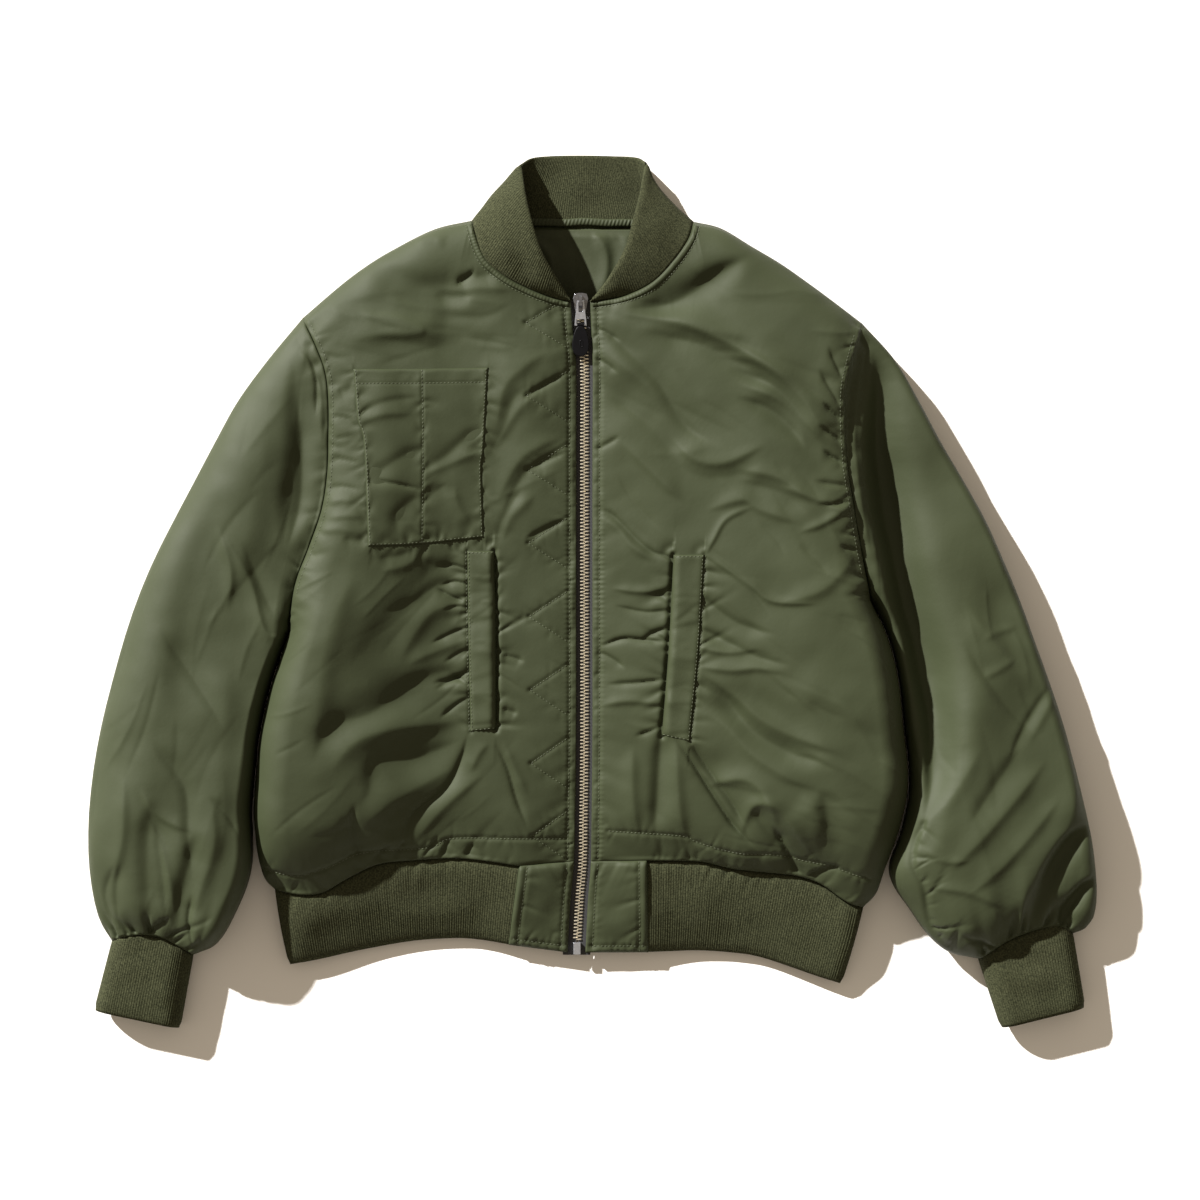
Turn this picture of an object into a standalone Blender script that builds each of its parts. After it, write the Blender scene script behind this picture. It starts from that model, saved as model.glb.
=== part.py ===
"""Bomber jacket, zipped up and laid flat on its back.

Every piece that is cut and sewn is a closed solid of its own. +X is the wearer's
left, +Y runs from hem to collar, +Z is up from the table, and the origin lies on
the table under the middle of the back. Right and left are the wearer's own.
Tables are in millimetres; the solids are made in metres.
"""
import math

import bpy
import numpy as np

# ---- Sizes, in millimetres ---------------------------------------------------
MM = 0.001           # metres in a millimetre
CLOTH = 3.0          # padded nylon, face to lining
RIB = 3.0            # folded knitted band
LINING = 1.2         # single lining cloth
PATCH = 1.6          # folded pocket and welt cloth
TAPE = 1.0           # woven zip tape
SEAM = 0.3           # gap between two pieces that are sewn together
FOLD_Z = 21.0        # height of the jacket's folded outline above the table
CURL = 24.0          # how far in from the outline the underside lies flat
SHELF = 1.2          # gap that opens between a sleeve and the body beside it

ARMHOLE_Z = {"right": 46.0, "left": 46.0}   # highest point of each armhole seam
NECK_Z = 42.0        # highest point of the neck seam on the fronts
HEM_Z = 27.0         # hem seam of the fronts
CUFF_FOLD_Z = 13.0   # folded side of a cuff
CUFF_Z = 28.0        # top of a cuff at its seam
CUFF_END_Z = 25.0    # top of a cuff at its open end
RIB_FOLD_Z = 10.0    # folded side of the hem band at its lower edge

# How far from an edge the cloth takes to rise from it to full height.
RISE = {"armhole_end": 60.0, "neck_end": 45.0, "hem_end": 24.0, "cuff_end": 22.0, "cuff_under": 16.0,
        "front_side": 52.0, "front_zip": 60.0, "front_top": 46.0, "front_hem": 70.0,
        "sleeve_outer": 48.0, "sleeve_inner": 52.0, "sleeve_ends": 34.0}

# Slope of each front from its swell down to the zip: share of its width where the slope
# starts, and share of its width that it takes.
CROWN_SHARE = {"right": 0.17, "left": 0.16}
SLOPE_SHARE = {"right": 0.40, "left": 0.75}

ZIP_RISE_POWER = 0.8     # below 1 a panel leaves its edge steeply; 0.5 is upright
HEM_RISE_POWER = 0.7
CUFF_TAPER = 0.82        # share of the sleeve's length where its fold starts to sink
ROW_CROWDING = 0.07      # how much the sleeve's rows crowd towards both ends

# ---- Grid of the panels, in cells -----------------------------------------------
SHOULDER_CELLS = 11
NECK_CELLS = 7
ARMHOLE_CELLS = 12
SIDE_CELLS = 12
SLEEVE_ROWS = 20
UNDER_ARMHOLE_CELLS = 8
BACK_SIDE_CELLS = 8
BACK_SHOULDER_CELLS = 4
BACK_NECK_CELLS = 6
TAB_CELLS = 3
TAB_ROWS = 4
CUFF_ROWS = 3
HEM_ROWS = 3
COLLAR_ROWS = 4

# ---- Outline of the jacket as it lies, points x, y in millimetres ----------------
OUTLINE = {
    "right": {
        "neck": [(-105, 337), (-93.6, 303), (-76.5, 286), (-54, 274), (-32, 266), (-15.3, 262.5)],
        "shoulder": [(-257.5, 249), (-225, 277), (-202, 294.5), (-177, 310), (-139, 329), (-105, 337)],
        "armhole": [(-257.5, 249), (-245, 225), (-235, 199), (-232, 172), (-232, 140), (-233, 108),
                    (-238, 75), (-250, 40), (-262, 8), (-269, -34)],
        "side": [(-269, -34), (-278, -60), (-287, -88), (-295, -124), (-299, -160),
                 (-301.5, -190), (-300.5, -214), (-297.5, -238), (-291.5, -257), (-282.5, -266.5)],
        "hem": [(-282.5, -266.5), (-258, -271), (-238, -268.5), (-215, -255.5), (-189, -243.5),
                (-159, -240), (-121, -238), (-92, -240.5), (-62.5, -245)],
        "hem_tab": [(-62.5, -245), (-40, -243), (-12.6, -241)],
        "outer": [(-257.5, 249), (-289, 211), (-316, 174), (-336, 138), (-355, 102), (-374, 66),
                  (-392, 30), (-407, -6), (-419, -42), (-429, -78), (-438, -114), (-445, -150),
                  (-449.5, -186), (-451, -215), (-450.5, -245), (-447, -275), (-441, -297), (-431, -314)],
        "inner_end": [(-303, -190), (-302.5, -214), (-302.5, -240), (-307, -262), (-317, -286),
                      (-329, -308), (-341, -320), (-357, -325)],
        "cuff_seam": [(-431, -314), (-418, -309), (-400, -307), (-380, -311), (-357, -325)],
        "cuff_end": [(-447, -376), (-369, -392.5)],
    },
    "left": {
        "neck": [(95.4, 336), (90, 318), (76.5, 298), (57.6, 279), (32.4, 267.5), (1.9, 262.5)],
        "shoulder": [(247.5, 244), (222, 263.5), (199, 280.5), (174, 298), (148, 313.5), (120, 330),
                     (95.4, 336)],
        "armhole": [(247.5, 244), (237, 212), (230.5, 184), (230, 152), (232.5, 112), (237.5, 80),
                    (242, 52), (247.5, 24), (254.5, -6)],
        "side": [(254.5, -6), (267, -31), (275.5, -57), (281, -86), (284.5, -122),
                 (288, -150), (288, -178), (284, -200), (278, -221), (268, -248), (260, -270),
                 (248.4, -282.5)],
        "hem": [(248.4, -282.5), (236, -279), (226, -273), (209, -261), (188, -254), (158, -250.5),
                (130, -247.5), (100, -241), (54, -240)],
        "hem_tab": [(54, -240), (30, -240.5), (2.6, -241)],
        "outer": [(247.5, 244), (277, 211), (298, 175), (317, 139), (338, 103), (358, 67), (374, 31),
                  (389, -5), (402, -41), (415, -77), (427, -113), (437, -149), (446, -185),
                  (453, -215), (457.5, -245), (459.5, -273), (457, -292), (449, -303), (439, -307)],
        "inner_end": [(289.5, -178), (286, -200), (280, -221), (271.5, -244), (275, -262), (289, -283),
                      (307, -308), (327, -324), (353, -330)],
        "cuff_seam": [(439, -307), (424, -299), (402, -303), (377, -313), (353, -330)],
        "cuff_end": [(450, -373.5), (373.5, -392.4)],
    },
}
BACK_NECK = [(-105, 337), (-60, 335), (-5, 334), (50, 335), (95.4, 336)]
BACK_HEM = [(-282.5, -266.5), (-256, -271), (-215, -262), (-150, -250), (-70, -245), (10, -245),
            (90, -247), (160, -256), (215, -273), (248.4, -282.5)]

# Zip: y, centre x, half of the gap between the two fronts, height of their edges.
ZIP = [(275, -7.0, 8.6, 33.0), (245, -5.8, 8.4, 33.5), (205, -3.2, 7.4, 35.5), (120, -3.2, 7.2, 37.5),
       (0, -3.2, 7.2, 38.0), (-120, -3.2, 7.2, 36.0), (-203, -4.2, 7.4, 29.5), (-241, -5.0, 7.6, 23.5),
       (-275, -7.8, 7.8, 18.0), (-305, -9.5, 8.0, 14.5), (-330, -10.6, 8.0, 12.5)]
ZIP_TOP = 262.5      # where the neck seam meets the zip
ZIP_HEM = -241.0     # where the hem seam meets the zip
TAB_END = -324.5     # lower edge of the hem tabs
TAPE_TOP = 264.0
TAPE_END = -327.0
TAPE_INNER = 1.3     # from the zip's centre line to a tape's edge
TAPE_HIDDEN = 4.5    # tape that lies under the edge of a front

# Height of the fronts: y, the swell near the side, the flatter middle beside the zip.
FRONT_SECTIONS = {
    "right": [(260, 46, 42), (180, 54, 46), (80, 61, 44), (0, 66, 42), (-100, 68, 42), (-200, 62, 38),
              (-270, 40, 30)],
    "left": [(260, 46, 42), (180, 54, 46), (80, 58, 46), (0, 62, 46), (-100, 64, 46), (-200, 60, 40),
             (-270, 42, 30)],
}
# Height of the sleeves: share of the way from armhole to cuff, crown.
SLEEVE_SECTIONS = {
    "right": [(0.0, 50), (0.25, 54), (0.6, 55), (0.85, 52), (1.0, 40)],
    "left": [(0.0, 48), (0.25, 52), (0.6, 55), (0.85, 54), (1.0, 40)],
}

# Largest folds: start, middle and end x, y, then half width and height (a trough is negative).
FRONT_FOLDS = {
    "right": [
        ((-112, 36), (-150, 8), (-214, -72), 17, -8),
        ((-112, -58), (-170, -92), (-252, -150), 17, -7),
        ((-110, -80), (-170, -108), (-232, -166), 14, 6),
        ((-106, -124), (-120, -170), (-166, -222), 13, -8),
        ((-140, -162), (-190, -196), (-232, -226), 14, 6),
        ((-200, 296), (-150, 276), (-96, 272), 16, -5),
        ((-222, 222), (-170, 236), (-110, 232), 15, 4),
        ((-206, 24), (-232, -40), (-246, -150), 20, 5),
    ],
    "left": [
        ((30, 252), (88, 272), (142, 302), 14, -7),
        ((34, 236), (110, 240), (222, 160), 15, 5),
        ((24, 214), (66, 176), (120, 134), 16, -6),
        ((142, 178), (190, 140), (230, 84), 15, -5),
        ((108, -78), (160, -104), (212, -150), 16, -6),
        ((88, -132), (124, -188), (152, -226), 13, -7),
        ((190, -176), (206, -206), (214, -240), 13, 5),
    ],
}
SLEEVE_FOLDS = {
    "right": [
        ((-262, 214), (-258, 130), (-276, 30), 16, -7),
        ((-292, 196), (-300, 90), (-326, -20), 20, 5),
        ((-330, 60), (-362, -60), (-372, -180), 22, -5),
        ((-322, -60), (-330, -160), (-340, -260), 20, 5),
        ((-388, -200), (-392, -250), (-388, -292), 14, -7),
        ((-352, -220), (-362, -262), (-372, -296), 13, -6),
    ],
    "left": [
        ((262, 214), (262, 120), (284, 10), 20, -16),
        ((284, 10), (308, -70), (318, -170), 20, -12),
        ((318, 120), (350, 20), (392, -100), 22, 5),
        ((318, -170), (330, -226), (336, -286), 17, -10),
        ((420, -180), (414, -236), (408, -284), 14, -8),
        ((372, -210), (372, -256), (378, -294), 13, -7),
    ],
}

# Collar: the free upper edge, station by station x, y, z, from front end to front end.
COLLAR_RIGHT = [(-17.5, 267, 35), (-24, 276, 40), (-33, 290, 45), (-42.5, 308, 48), (-51, 335, 47),
                (-57.5, 363, 38), (-61.5, 389, 19)]
COLLAR_BACK = [(-61.5, 389, 19), (-53, 396, 4), (-35, 398, 0), (-8, 398.5, 0), (22, 398, 0),
               (45, 396.5, 4), (54, 390, 18)]
COLLAR_LEFT = [(54, 390, 18), (48.5, 364, 37), (41, 335, 47), (33, 308, 47), (21, 286, 44),
               (12, 274, 39), (5, 267, 35)]
COLLAR_SWELL = 2.5   # how far the band bows out between seam and edge
COLLAR_WAIST = {"right": 1.0, "left": 9.0, "reach": 34.0}   # how far its folded sides curve in

# Hem band: its lower edge, x, y, z, from the right tab to the left tab.
RIB_RIGHT = [(-72, -317.7, 12), (-120, -312.5, 12), (-159, -315, 12.5), (-203, -322.5, 14),
             (-245, -331.5, 15.5), (-263, -334.5, 14.5), (-271, -335.7, RIB_FOLD_Z)]
RIB_BACK = [(-271, -335.7, RIB_FOLD_Z), (-263, -334, 3), (-248, -330.5, 0), (-203, -321, 0),
            (-140, -312, 0), (-60, -312, 0), (0, -314, 0), (60, -317, 0), (110, -320, 0),
            (160, -327, 0), (207, -344, 0), (222, -350.2, 3), (229.5, -353, RIB_FOLD_Z)]
RIB_LEFT = [(229.5, -353, RIB_FOLD_Z), (222, -350.8, 15), (205, -345.5, 16.5), (158, -330, 15),
            (130, -325.5, 13.5), (100, -323.5, 12.5), (54.5, -324.5, 12)]
RIB_SWELL = 2.0

# Pocket and welts on the fronts: corners x, y from top left, clockwise as the wearer is seen.
POCKET = [(-207.5, 200.5), (-88, 202), (-93, 50), (-193.5, 42.5)]
WELT_RIGHT = [(-107.5, 38), (-85, 39.5), (-83, -123.5), (-104.5, -122.5)]
WELT_LEFT = [(76.5, 35), (102, 35), (91, -131), (69, -127)]
LINING_EDGE = [(-78, 331), (68, 331), (68, 232), (-78, 232)]

# Slider, lever and pull tab on the zip.
SLIDER = {"x": -6.6, "top": 270.5, "bottom": 253.5, "wide": 6.9, "narrow": 4.6, "plate": 1.5,
          "channel": 4.0, "neck": 0.9, "crown_width": 2.6, "crown_half": 5.6, "crown_rise": 4.6,
          "crown_bar": 1.3, "axis_y": 262.5, "axis_lift": 1.65}
LEVER = {"bar": 1.6, "top_half": 3.4, "end_half": 5.4, "hole_half": 1.8, "hole": 8.6, "plate": 6.6,
         "slot_half": 3.5, "slot": 4.2, "end_bar": 1.6}
TAB = {"length": 27.0, "half": 8.0, "thick": 2.4, "barrel_in": 1.25, "barrel_out": 2.2,
       "barrel_half": 3.1, "lift": 1.0, "sides": 28}
BOX = {"half": 3.3, "top": -315.5, "bottom": -326.5, "thick": 2.6}

# Colour (linear), roughness, metallic of each material.
FINISH = {
    "olive_nylon": ((0.060, 0.075, 0.034), 0.42, 0.0),
    "olive_rib": ((0.052, 0.066, 0.032), 0.90, 0.0),
    "charcoal_tape": ((0.022, 0.023, 0.026), 0.80, 0.0),
    "silver_metal": ((0.62, 0.60, 0.57), 0.30, 1.0),
    "black_rubber": ((0.008, 0.008, 0.009), 0.50, 0.0),
}


# ---- Lines ---------------------------------------------------------------------
def spline(points, steps=10):
    """A dense smooth line through the points."""
    p = np.array(points, dtype=float)
    p = np.vstack([2 * p[0] - p[1], p, 2 * p[-1] - p[-2]])
    t = np.linspace(0.0, 1.0, steps, endpoint=False)[:, None]
    spans = [0.5 * (2 * b + (c - a) * t + (2 * a - 5 * b + 4 * c - d) * t**2
                    + (3 * b - a - 3 * c + d) * t**3)
             for a, b, c, d in zip(p, p[1:], p[2:], p[3:])]
    return np.vstack(spans + [p[-2:-1]])


def travel(line):
    """Length along a line in plan, at each of its points."""
    steps = np.linalg.norm(np.diff(line[:, :2], axis=0), axis=1)
    return np.concatenate([[0.0], np.cumsum(steps)])


def at_length(line, lengths):
    """Points of a line at the given lengths."""
    s = travel(line)
    return np.stack([np.interp(lengths, s, column) for column in line.T], axis=1)


def sample(points, shares):
    """Points at the given shares of a smooth line's length."""
    line = spline(points)
    return at_length(line, np.asarray(shares) * travel(line)[-1])


def even(cells):
    return np.arange(cells + 1) / cells


def close_at_both(cells, pull=1.0):
    """Shares that crowd towards both ends."""
    return (1.0 - pull) * even(cells) + pull * (0.5 - 0.5 * np.cos(math.pi * even(cells)))


def close_at_start(cells):
    return even(cells) ** 1.4


def dome(distance, reach, power=0.5):
    """Rise from 0 at a seam to 1 at its reach, upright at the seam when power is 0.5."""
    left = np.clip(1.0 - np.asarray(distance, dtype=float) / reach, 0.0, 1.0)
    return (1.0 - left**2) ** power


def ease(x):
    x = np.clip(x, 0.0, 1.0)
    return x * x * (3.0 - 2.0 * x)


def distance_to(line, x, y):
    """Distance in plan from points to a line."""
    start, step = line[:-1, :2], np.diff(line[:, :2], axis=0)
    dx, dy = x[..., None] - start[:, 0], y[..., None] - start[:, 1]
    share = (dx * step[:, 0] + dy * step[:, 1]) / (step**2).sum(axis=1)
    share = np.clip(share, 0.0, 1.0)
    return np.hypot(dx - share * step[:, 0], dy - share * step[:, 1]).min(axis=-1)


def folds(table, x, y):
    """Height that the listed folds add at points in plan."""
    z = np.zeros_like(x)
    for start, middle, end, width, height in table:
        line = spline([start, middle, end], steps=6)
        along = np.array(end, float) - start
        share = ((x - start[0]) * along[0] + (y - start[1]) * along[1]) / (along @ along)
        fade = np.sqrt(np.clip(4.0 * share * (1.0 - share), 0.0, 1.0))
        z += height * fade * np.exp(-((distance_to(line, x, y) / width) ** 2))
    return z


def plan_normals(line):
    """Unit normals in plan, to the left of the line's direction."""
    tangent = np.gradient(line[:, :2], axis=0)
    tangent /= np.linalg.norm(tangent, axis=1)[:, None]
    return np.stack([-tangent[:, 1], tangent[:, 0]], axis=1)


def shift(line, distance):
    """The line moved to its left in plan."""
    moved = line.copy()
    moved[:, :2] += distance * plan_normals(line)
    return moved


# ---- Walls ---------------------------------------------------------------------
def seam_rim(edge, wall, upper, start_fold=False, end_fold=False):
    """Inner points of a sewn edge, in the upright surface that stands on the edge."""
    s, z = travel(edge), edge[:, 2]
    ds, dz = np.gradient(s), np.gradient(z)
    size = np.hypot(ds, dz)
    side = 1.0 if upper else -1.0
    forward, drop = side * dz / size, side * ds / size
    if start_fold:
        forward[0], drop[0] = 1.0, 0.0
    else:
        forward[0], drop[0] = 0.0, side
    if end_fold:
        forward[-1], drop[-1] = -1.0, 0.0
    else:
        forward[-1], drop[-1] = 0.0, side
    inner = at_length(edge, s + wall * forward)
    inner[:, 2] = z - wall * drop
    return inner


def fold_rim(edge, inside, wall):
    """Inner points of a folded edge, level with it and set in towards the inside points."""
    normal = plan_normals(edge)
    towards = ((inside[:, :2] - edge[:, :2]) * normal).sum(axis=1)
    inner = edge.copy()
    inner[:, :2] += wall * normal * np.sign(towards)[:, None]
    return inner


def surface_normals(grid):
    across = np.gradient(grid, axis=0)
    down = np.gradient(grid, axis=1)
    normal = np.cross(across, down)
    return normal / np.linalg.norm(normal, axis=2)[..., None]


def offset_inside(grid, wall, upper):
    """Points one wall thickness inside an upper (face up) or lower (face down) panel."""
    normal = surface_normals(grid)
    if (normal[..., 2].mean() > 0.0) != upper:
        normal = -normal
    return grid - wall * normal


def fill(left, right, top, bottom, u, v, rounds=500):
    """Grid [i][j] spread evenly between four lines, with no cell folded over in plan.

    i runs along the top line at the shares u, j down the left line at the shares v. The
    grid starts as a blend of its edges; each round then moves every inner point to where
    the grid's own stretch and slant put it between its neighbours.
    """
    grid = np.zeros((len(u), len(v), 3))
    s, t = u[:, None, None], v[None, :, None]
    corners = ((1 - s) * (1 - t) * top[0] + s * (1 - t) * top[-1]
               + (1 - s) * t * bottom[0] + s * t * bottom[-1])
    grid += (1 - s) * left[None] + s * right[None] + (1 - t) * top[:, None] + t * bottom[:, None]
    grid -= corners
    before, after = np.diff(u)[:-1, None, None], np.diff(u)[1:, None, None]
    above, below = np.diff(v)[None, :-1, None], np.diff(v)[None, 1:, None]
    for _ in range(rounds):
        mid = grid[1:-1, 1:-1]
        across = (grid[2:, 1:-1] - grid[:-2, 1:-1]) / (before + after)
        down = (grid[1:-1, 2:] - grid[1:-1, :-2]) / (above + below)
        twist = (grid[2:, 2:] - grid[2:, :-2] - grid[:-2, 2:] + grid[:-2, :-2])
        twist = twist / ((before + after) * (above + below))
        stretch = (across[..., :2] ** 2).sum(axis=2)[..., None]
        fall = (down[..., :2] ** 2).sum(axis=2)[..., None]
        slant = (across[..., :2] * down[..., :2]).sum(axis=2)[..., None]
        along = 2 / (before + after) * (grid[2:, 1:-1] / after + grid[:-2, 1:-1] / before)
        drop = 2 / (above + below) * (grid[1:-1, 2:] / below + grid[1:-1, :-2] / above)
        weight = fall * 2 / (before * after) + stretch * 2 / (above * below)
        goal = (fall * along + stretch * drop - 2 * slant * twist) / weight
        grid[1:-1, 1:-1] = mid + 0.8 * (goal - mid)
    return grid


def column_distance(grid, index):
    """Distance in plan of each grid point from the grid's side column."""
    return np.linalg.norm(grid[..., :2] - grid[index][None, :, :2], axis=2)


def row_distance(grid, index):
    return np.linalg.norm(grid[..., :2] - grid[:, index][:, None, :2], axis=2)


# ---- Solids --------------------------------------------------------------------
def material(name):
    found = bpy.data.materials.get(name)
    if found:
        return found
    colour, roughness, metallic = FINISH[name]
    made = bpy.data.materials.new(name)
    made.use_nodes = True
    shader = made.node_tree.nodes["Principled BSDF"]
    shader.inputs["Base Color"].default_value = (*colour, 1.0)
    shader.inputs["Roughness"].default_value = roughness
    shader.inputs["Metallic"].default_value = metallic
    made.diffuse_color = (*colour, 1.0)
    return made


def add_object(name, finish, points, faces, sharp_angle=50.0):
    """Add one closed solid, turned so that its faces point out."""
    points = np.asarray(points, dtype=float)
    volume = 0.0
    for face in faces:
        first = points[face[0]]
        for b, c in zip(face[1:], face[2:]):
            volume += first @ np.cross(points[b], points[c])
    if volume < 0.0:
        faces = [tuple(reversed(face)) for face in faces]
    mesh = bpy.data.meshes.new(name)
    mesh.from_pydata((points * MM).tolist(), [], faces)
    mesh.materials.append(material(finish))
    mesh.shade_smooth()
    mesh.set_sharp_from_angle(angle=math.radians(sharp_angle))
    made = bpy.data.objects.new(name, mesh)
    bpy.context.collection.objects.link(made)
    return made


def wall_solid(name, finish, outer, inner, ring=False):
    """Close the space between two grids of points; a ring's first column follows its last."""
    columns, rows = outer.shape[:2]
    points = np.vstack([outer.reshape(-1, 3), inner.reshape(-1, 3)])
    half = columns * rows

    def number(i, j, side):
        return side * half + (i % columns) * rows + j

    faces = []

    def quad(a, b, c, d):
        faces.append((a, b, c))
        faces.append((a, c, d))

    spans = columns if ring else columns - 1
    for i in range(spans):
        for j in range(rows - 1):
            quad(number(i, j, 0), number(i + 1, j, 0), number(i + 1, j + 1, 0), number(i, j + 1, 0))
            quad(number(i, j, 1), number(i, j + 1, 1), number(i + 1, j + 1, 1), number(i + 1, j, 1))
        quad(number(i + 1, 0, 0), number(i, 0, 0), number(i, 0, 1), number(i + 1, 0, 1))
        last = rows - 1
        quad(number(i, last, 0), number(i + 1, last, 0), number(i + 1, last, 1), number(i, last, 1))
    if not ring:
        last = columns - 1
        for j in range(rows - 1):
            quad(number(0, j, 0), number(0, j + 1, 0), number(0, j + 1, 1), number(0, j, 1))
            quad(number(last, j + 1, 0), number(last, j, 0), number(last, j, 1), number(last, j + 1, 1))
    return add_object(name, finish, points, faces)


# ---- Zip line ------------------------------------------------------------------
ZIP_LINE = spline(ZIP, steps=12)[::-1]


def zip_at(y):
    """Centre x, half gap and edge height of the zip at y."""
    return [np.interp(y, ZIP_LINE[:, 0], ZIP_LINE[:, k]) for k in (1, 2, 3)]


def zip_edge(side, y):
    """The edge of a front or hem tab along the zip."""
    centre, half, height = zip_at(y)
    sign = -1.0 if side == "right" else 1.0
    return np.stack([centre + sign * half, y, height], axis=1)


# ---- Edges that two pieces share ---------------------------------------------------
def armhole_edge(side, shares, upper):
    line = sample(OUTLINE[side]["armhole"], shares)
    s = travel(line)
    if upper:
        rise = dome(s, RISE["armhole_end"]) * dome(s[-1] - s, RISE["armhole_end"])
        z = FOLD_Z + (ARMHOLE_Z[side] - FOLD_Z) * rise
    else:
        z = FOLD_Z * (1.0 - dome(s, CURL) * dome(s[-1] - s, CURL))
    return np.column_stack([line, z])


def neck_edge(side):
    line = sample(OUTLINE[side]["neck"], close_at_start(NECK_CELLS))
    s = travel(line)
    zip_z = zip_at(ZIP_TOP)[2]
    end = RISE["neck_end"]
    z = FOLD_Z + (NECK_Z - FOLD_Z) * dome(s, end)
    z += (zip_z - NECK_Z) * ease((s - end) / (s[-1] - end))
    return np.column_stack([line, z])


def back_neck_edge():
    line = sample(BACK_NECK, close_at_both(BACK_NECK_CELLS))
    s = travel(line)
    z = FOLD_Z * (1.0 - dome(s, CURL) * dome(s[-1] - s, CURL))
    return np.column_stack([line, z])


def hem_edge(side):
    """The front's hem seam from the side to the zip."""
    shares = rib_shares()
    band = sample(OUTLINE[side]["hem"], shares)
    tab = sample(OUTLINE[side]["hem_tab"], even(TAB_CELLS))
    line = np.vstack([band, tab[1:]])
    s = travel(line)
    z = FOLD_Z + (HEM_Z - FOLD_Z) * dome(s, RISE["hem_end"])
    z += (zip_at(ZIP_HEM)[2] - HEM_Z) * ease((s - s[len(band) - 1]) / (s[-1] - s[len(band) - 1]))
    return np.column_stack([line, z])


def rib_shares():
    """Where the front's columns meet the hem band: shares of the way from side to tab."""
    columns = front_columns()
    split = len(columns) - TAB_CELLS
    return columns[:split] / columns[split - 1]


def back_hem_edge():
    line = sample(BACK_HEM, back_columns())
    s = travel(line)
    z = FOLD_Z * (1.0 - dome(s, CURL) * dome(s[-1] - s, CURL))
    return np.column_stack([line, z])


def front_columns():
    shoulder = 0.6 * close_at_start(SHOULDER_CELLS)
    neck = 0.6 + 0.4 * close_at_start(NECK_CELLS)
    return np.concatenate([shoulder, neck[1:]])


def front_rows():
    armhole = 0.5 * close_at_both(ARMHOLE_CELLS)
    side = 0.5 + 0.5 * close_at_both(SIDE_CELLS, 0.5)
    return np.concatenate([armhole, side[1:]])


def back_columns():
    return close_at_both(2 * BACK_SHOULDER_CELLS + BACK_NECK_CELLS)


# ---- Panels --------------------------------------------------------------------
def front_grid(side):
    """Outer points of a front, from side to zip and from shoulder to hem."""
    outline = OUTLINE[side]
    u, v = front_columns(), front_rows()
    armhole = armhole_edge(side, close_at_both(ARMHOLE_CELLS), upper=True)
    fold = sample(outline["side"], close_at_both(SIDE_CELLS, 0.5))
    fold = np.column_stack([fold, np.full(len(fold), FOLD_Z)])
    left = np.vstack([armhole, fold[1:]])
    shoulder = sample(outline["shoulder"], close_at_start(SHOULDER_CELLS))
    shoulder = np.column_stack([shoulder, np.full(len(shoulder), FOLD_Z)])
    top = np.vstack([shoulder, neck_edge(side)[1:]])
    right = zip_edge(side, ZIP_TOP + v * (ZIP_HEM - ZIP_TOP))
    bottom = hem_edge(side)
    right[0], right[-1] = top[-1], bottom[-1]
    grid = fill(left, right, top, bottom, u, v)

    heights = np.array(FRONT_SECTIONS[side], dtype=float)[::-1]
    crown = np.interp(grid[..., 1], heights[:, 0], heights[:, 1])
    middle = np.interp(grid[..., 1], heights[:, 0], heights[:, 2])
    target = crown + (middle - crown) * ease((u[:, None] - CROWN_SHARE[side]) / SLOPE_SHARE[side])
    target += folds(FRONT_FOLDS[side], grid[..., 0], grid[..., 1])
    rise = (dome(column_distance(grid, 0), RISE["front_side"])
            * dome(column_distance(grid, -1), RISE["front_zip"], ZIP_RISE_POWER)
            * dome(row_distance(grid, 0), RISE["front_top"])
            * dome(row_distance(grid, -1), RISE["front_hem"], HEM_RISE_POWER))
    grid[..., 2] += (target - grid[..., 2]) * rise
    return grid


def make_front(side):
    grid = front_grid(side)
    underarm = ARMHOLE_CELLS
    corner = SHOULDER_CELLS
    turn = 1.0 if side == "right" else -1.0
    grid[:, -1] = shift(grid[:, -1], turn * SEAM / 2)
    grid[corner:, 0] = shift(grid[corner:, 0], -turn * SEAM / 2)
    grid[0, : underarm + 1] = shift(grid[0, : underarm + 1], turn * SEAM / 2)
    grid[0, :, 2] += SEAM / 2
    grid[: corner + 1, 0, 2] += SEAM / 2

    inner = offset_inside(grid, CLOTH, upper=True)
    inner[-1] = grid[-1] - (0.0, 0.0, CLOTH)
    inner[0, underarm:] = fold_rim(grid[0, underarm:], grid[1, underarm:], CLOTH)
    inner[: corner + 1, 0] = fold_rim(grid[: corner + 1, 0], grid[: corner + 1, 1], CLOTH)
    inner[corner:, 0] = seam_rim(grid[corner:, 0], CLOTH, True, start_fold=True)
    inner[:, -1] = seam_rim(grid[:, -1], CLOTH, True, start_fold=True)
    armhole = seam_rim(grid[0, : underarm + 1], CLOTH, True, start_fold=True, end_fold=True)
    inner[0, :underarm] = armhole[:underarm]
    wall_solid(f"front_{side}", "olive_nylon", grid, inner)
    return grid


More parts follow.
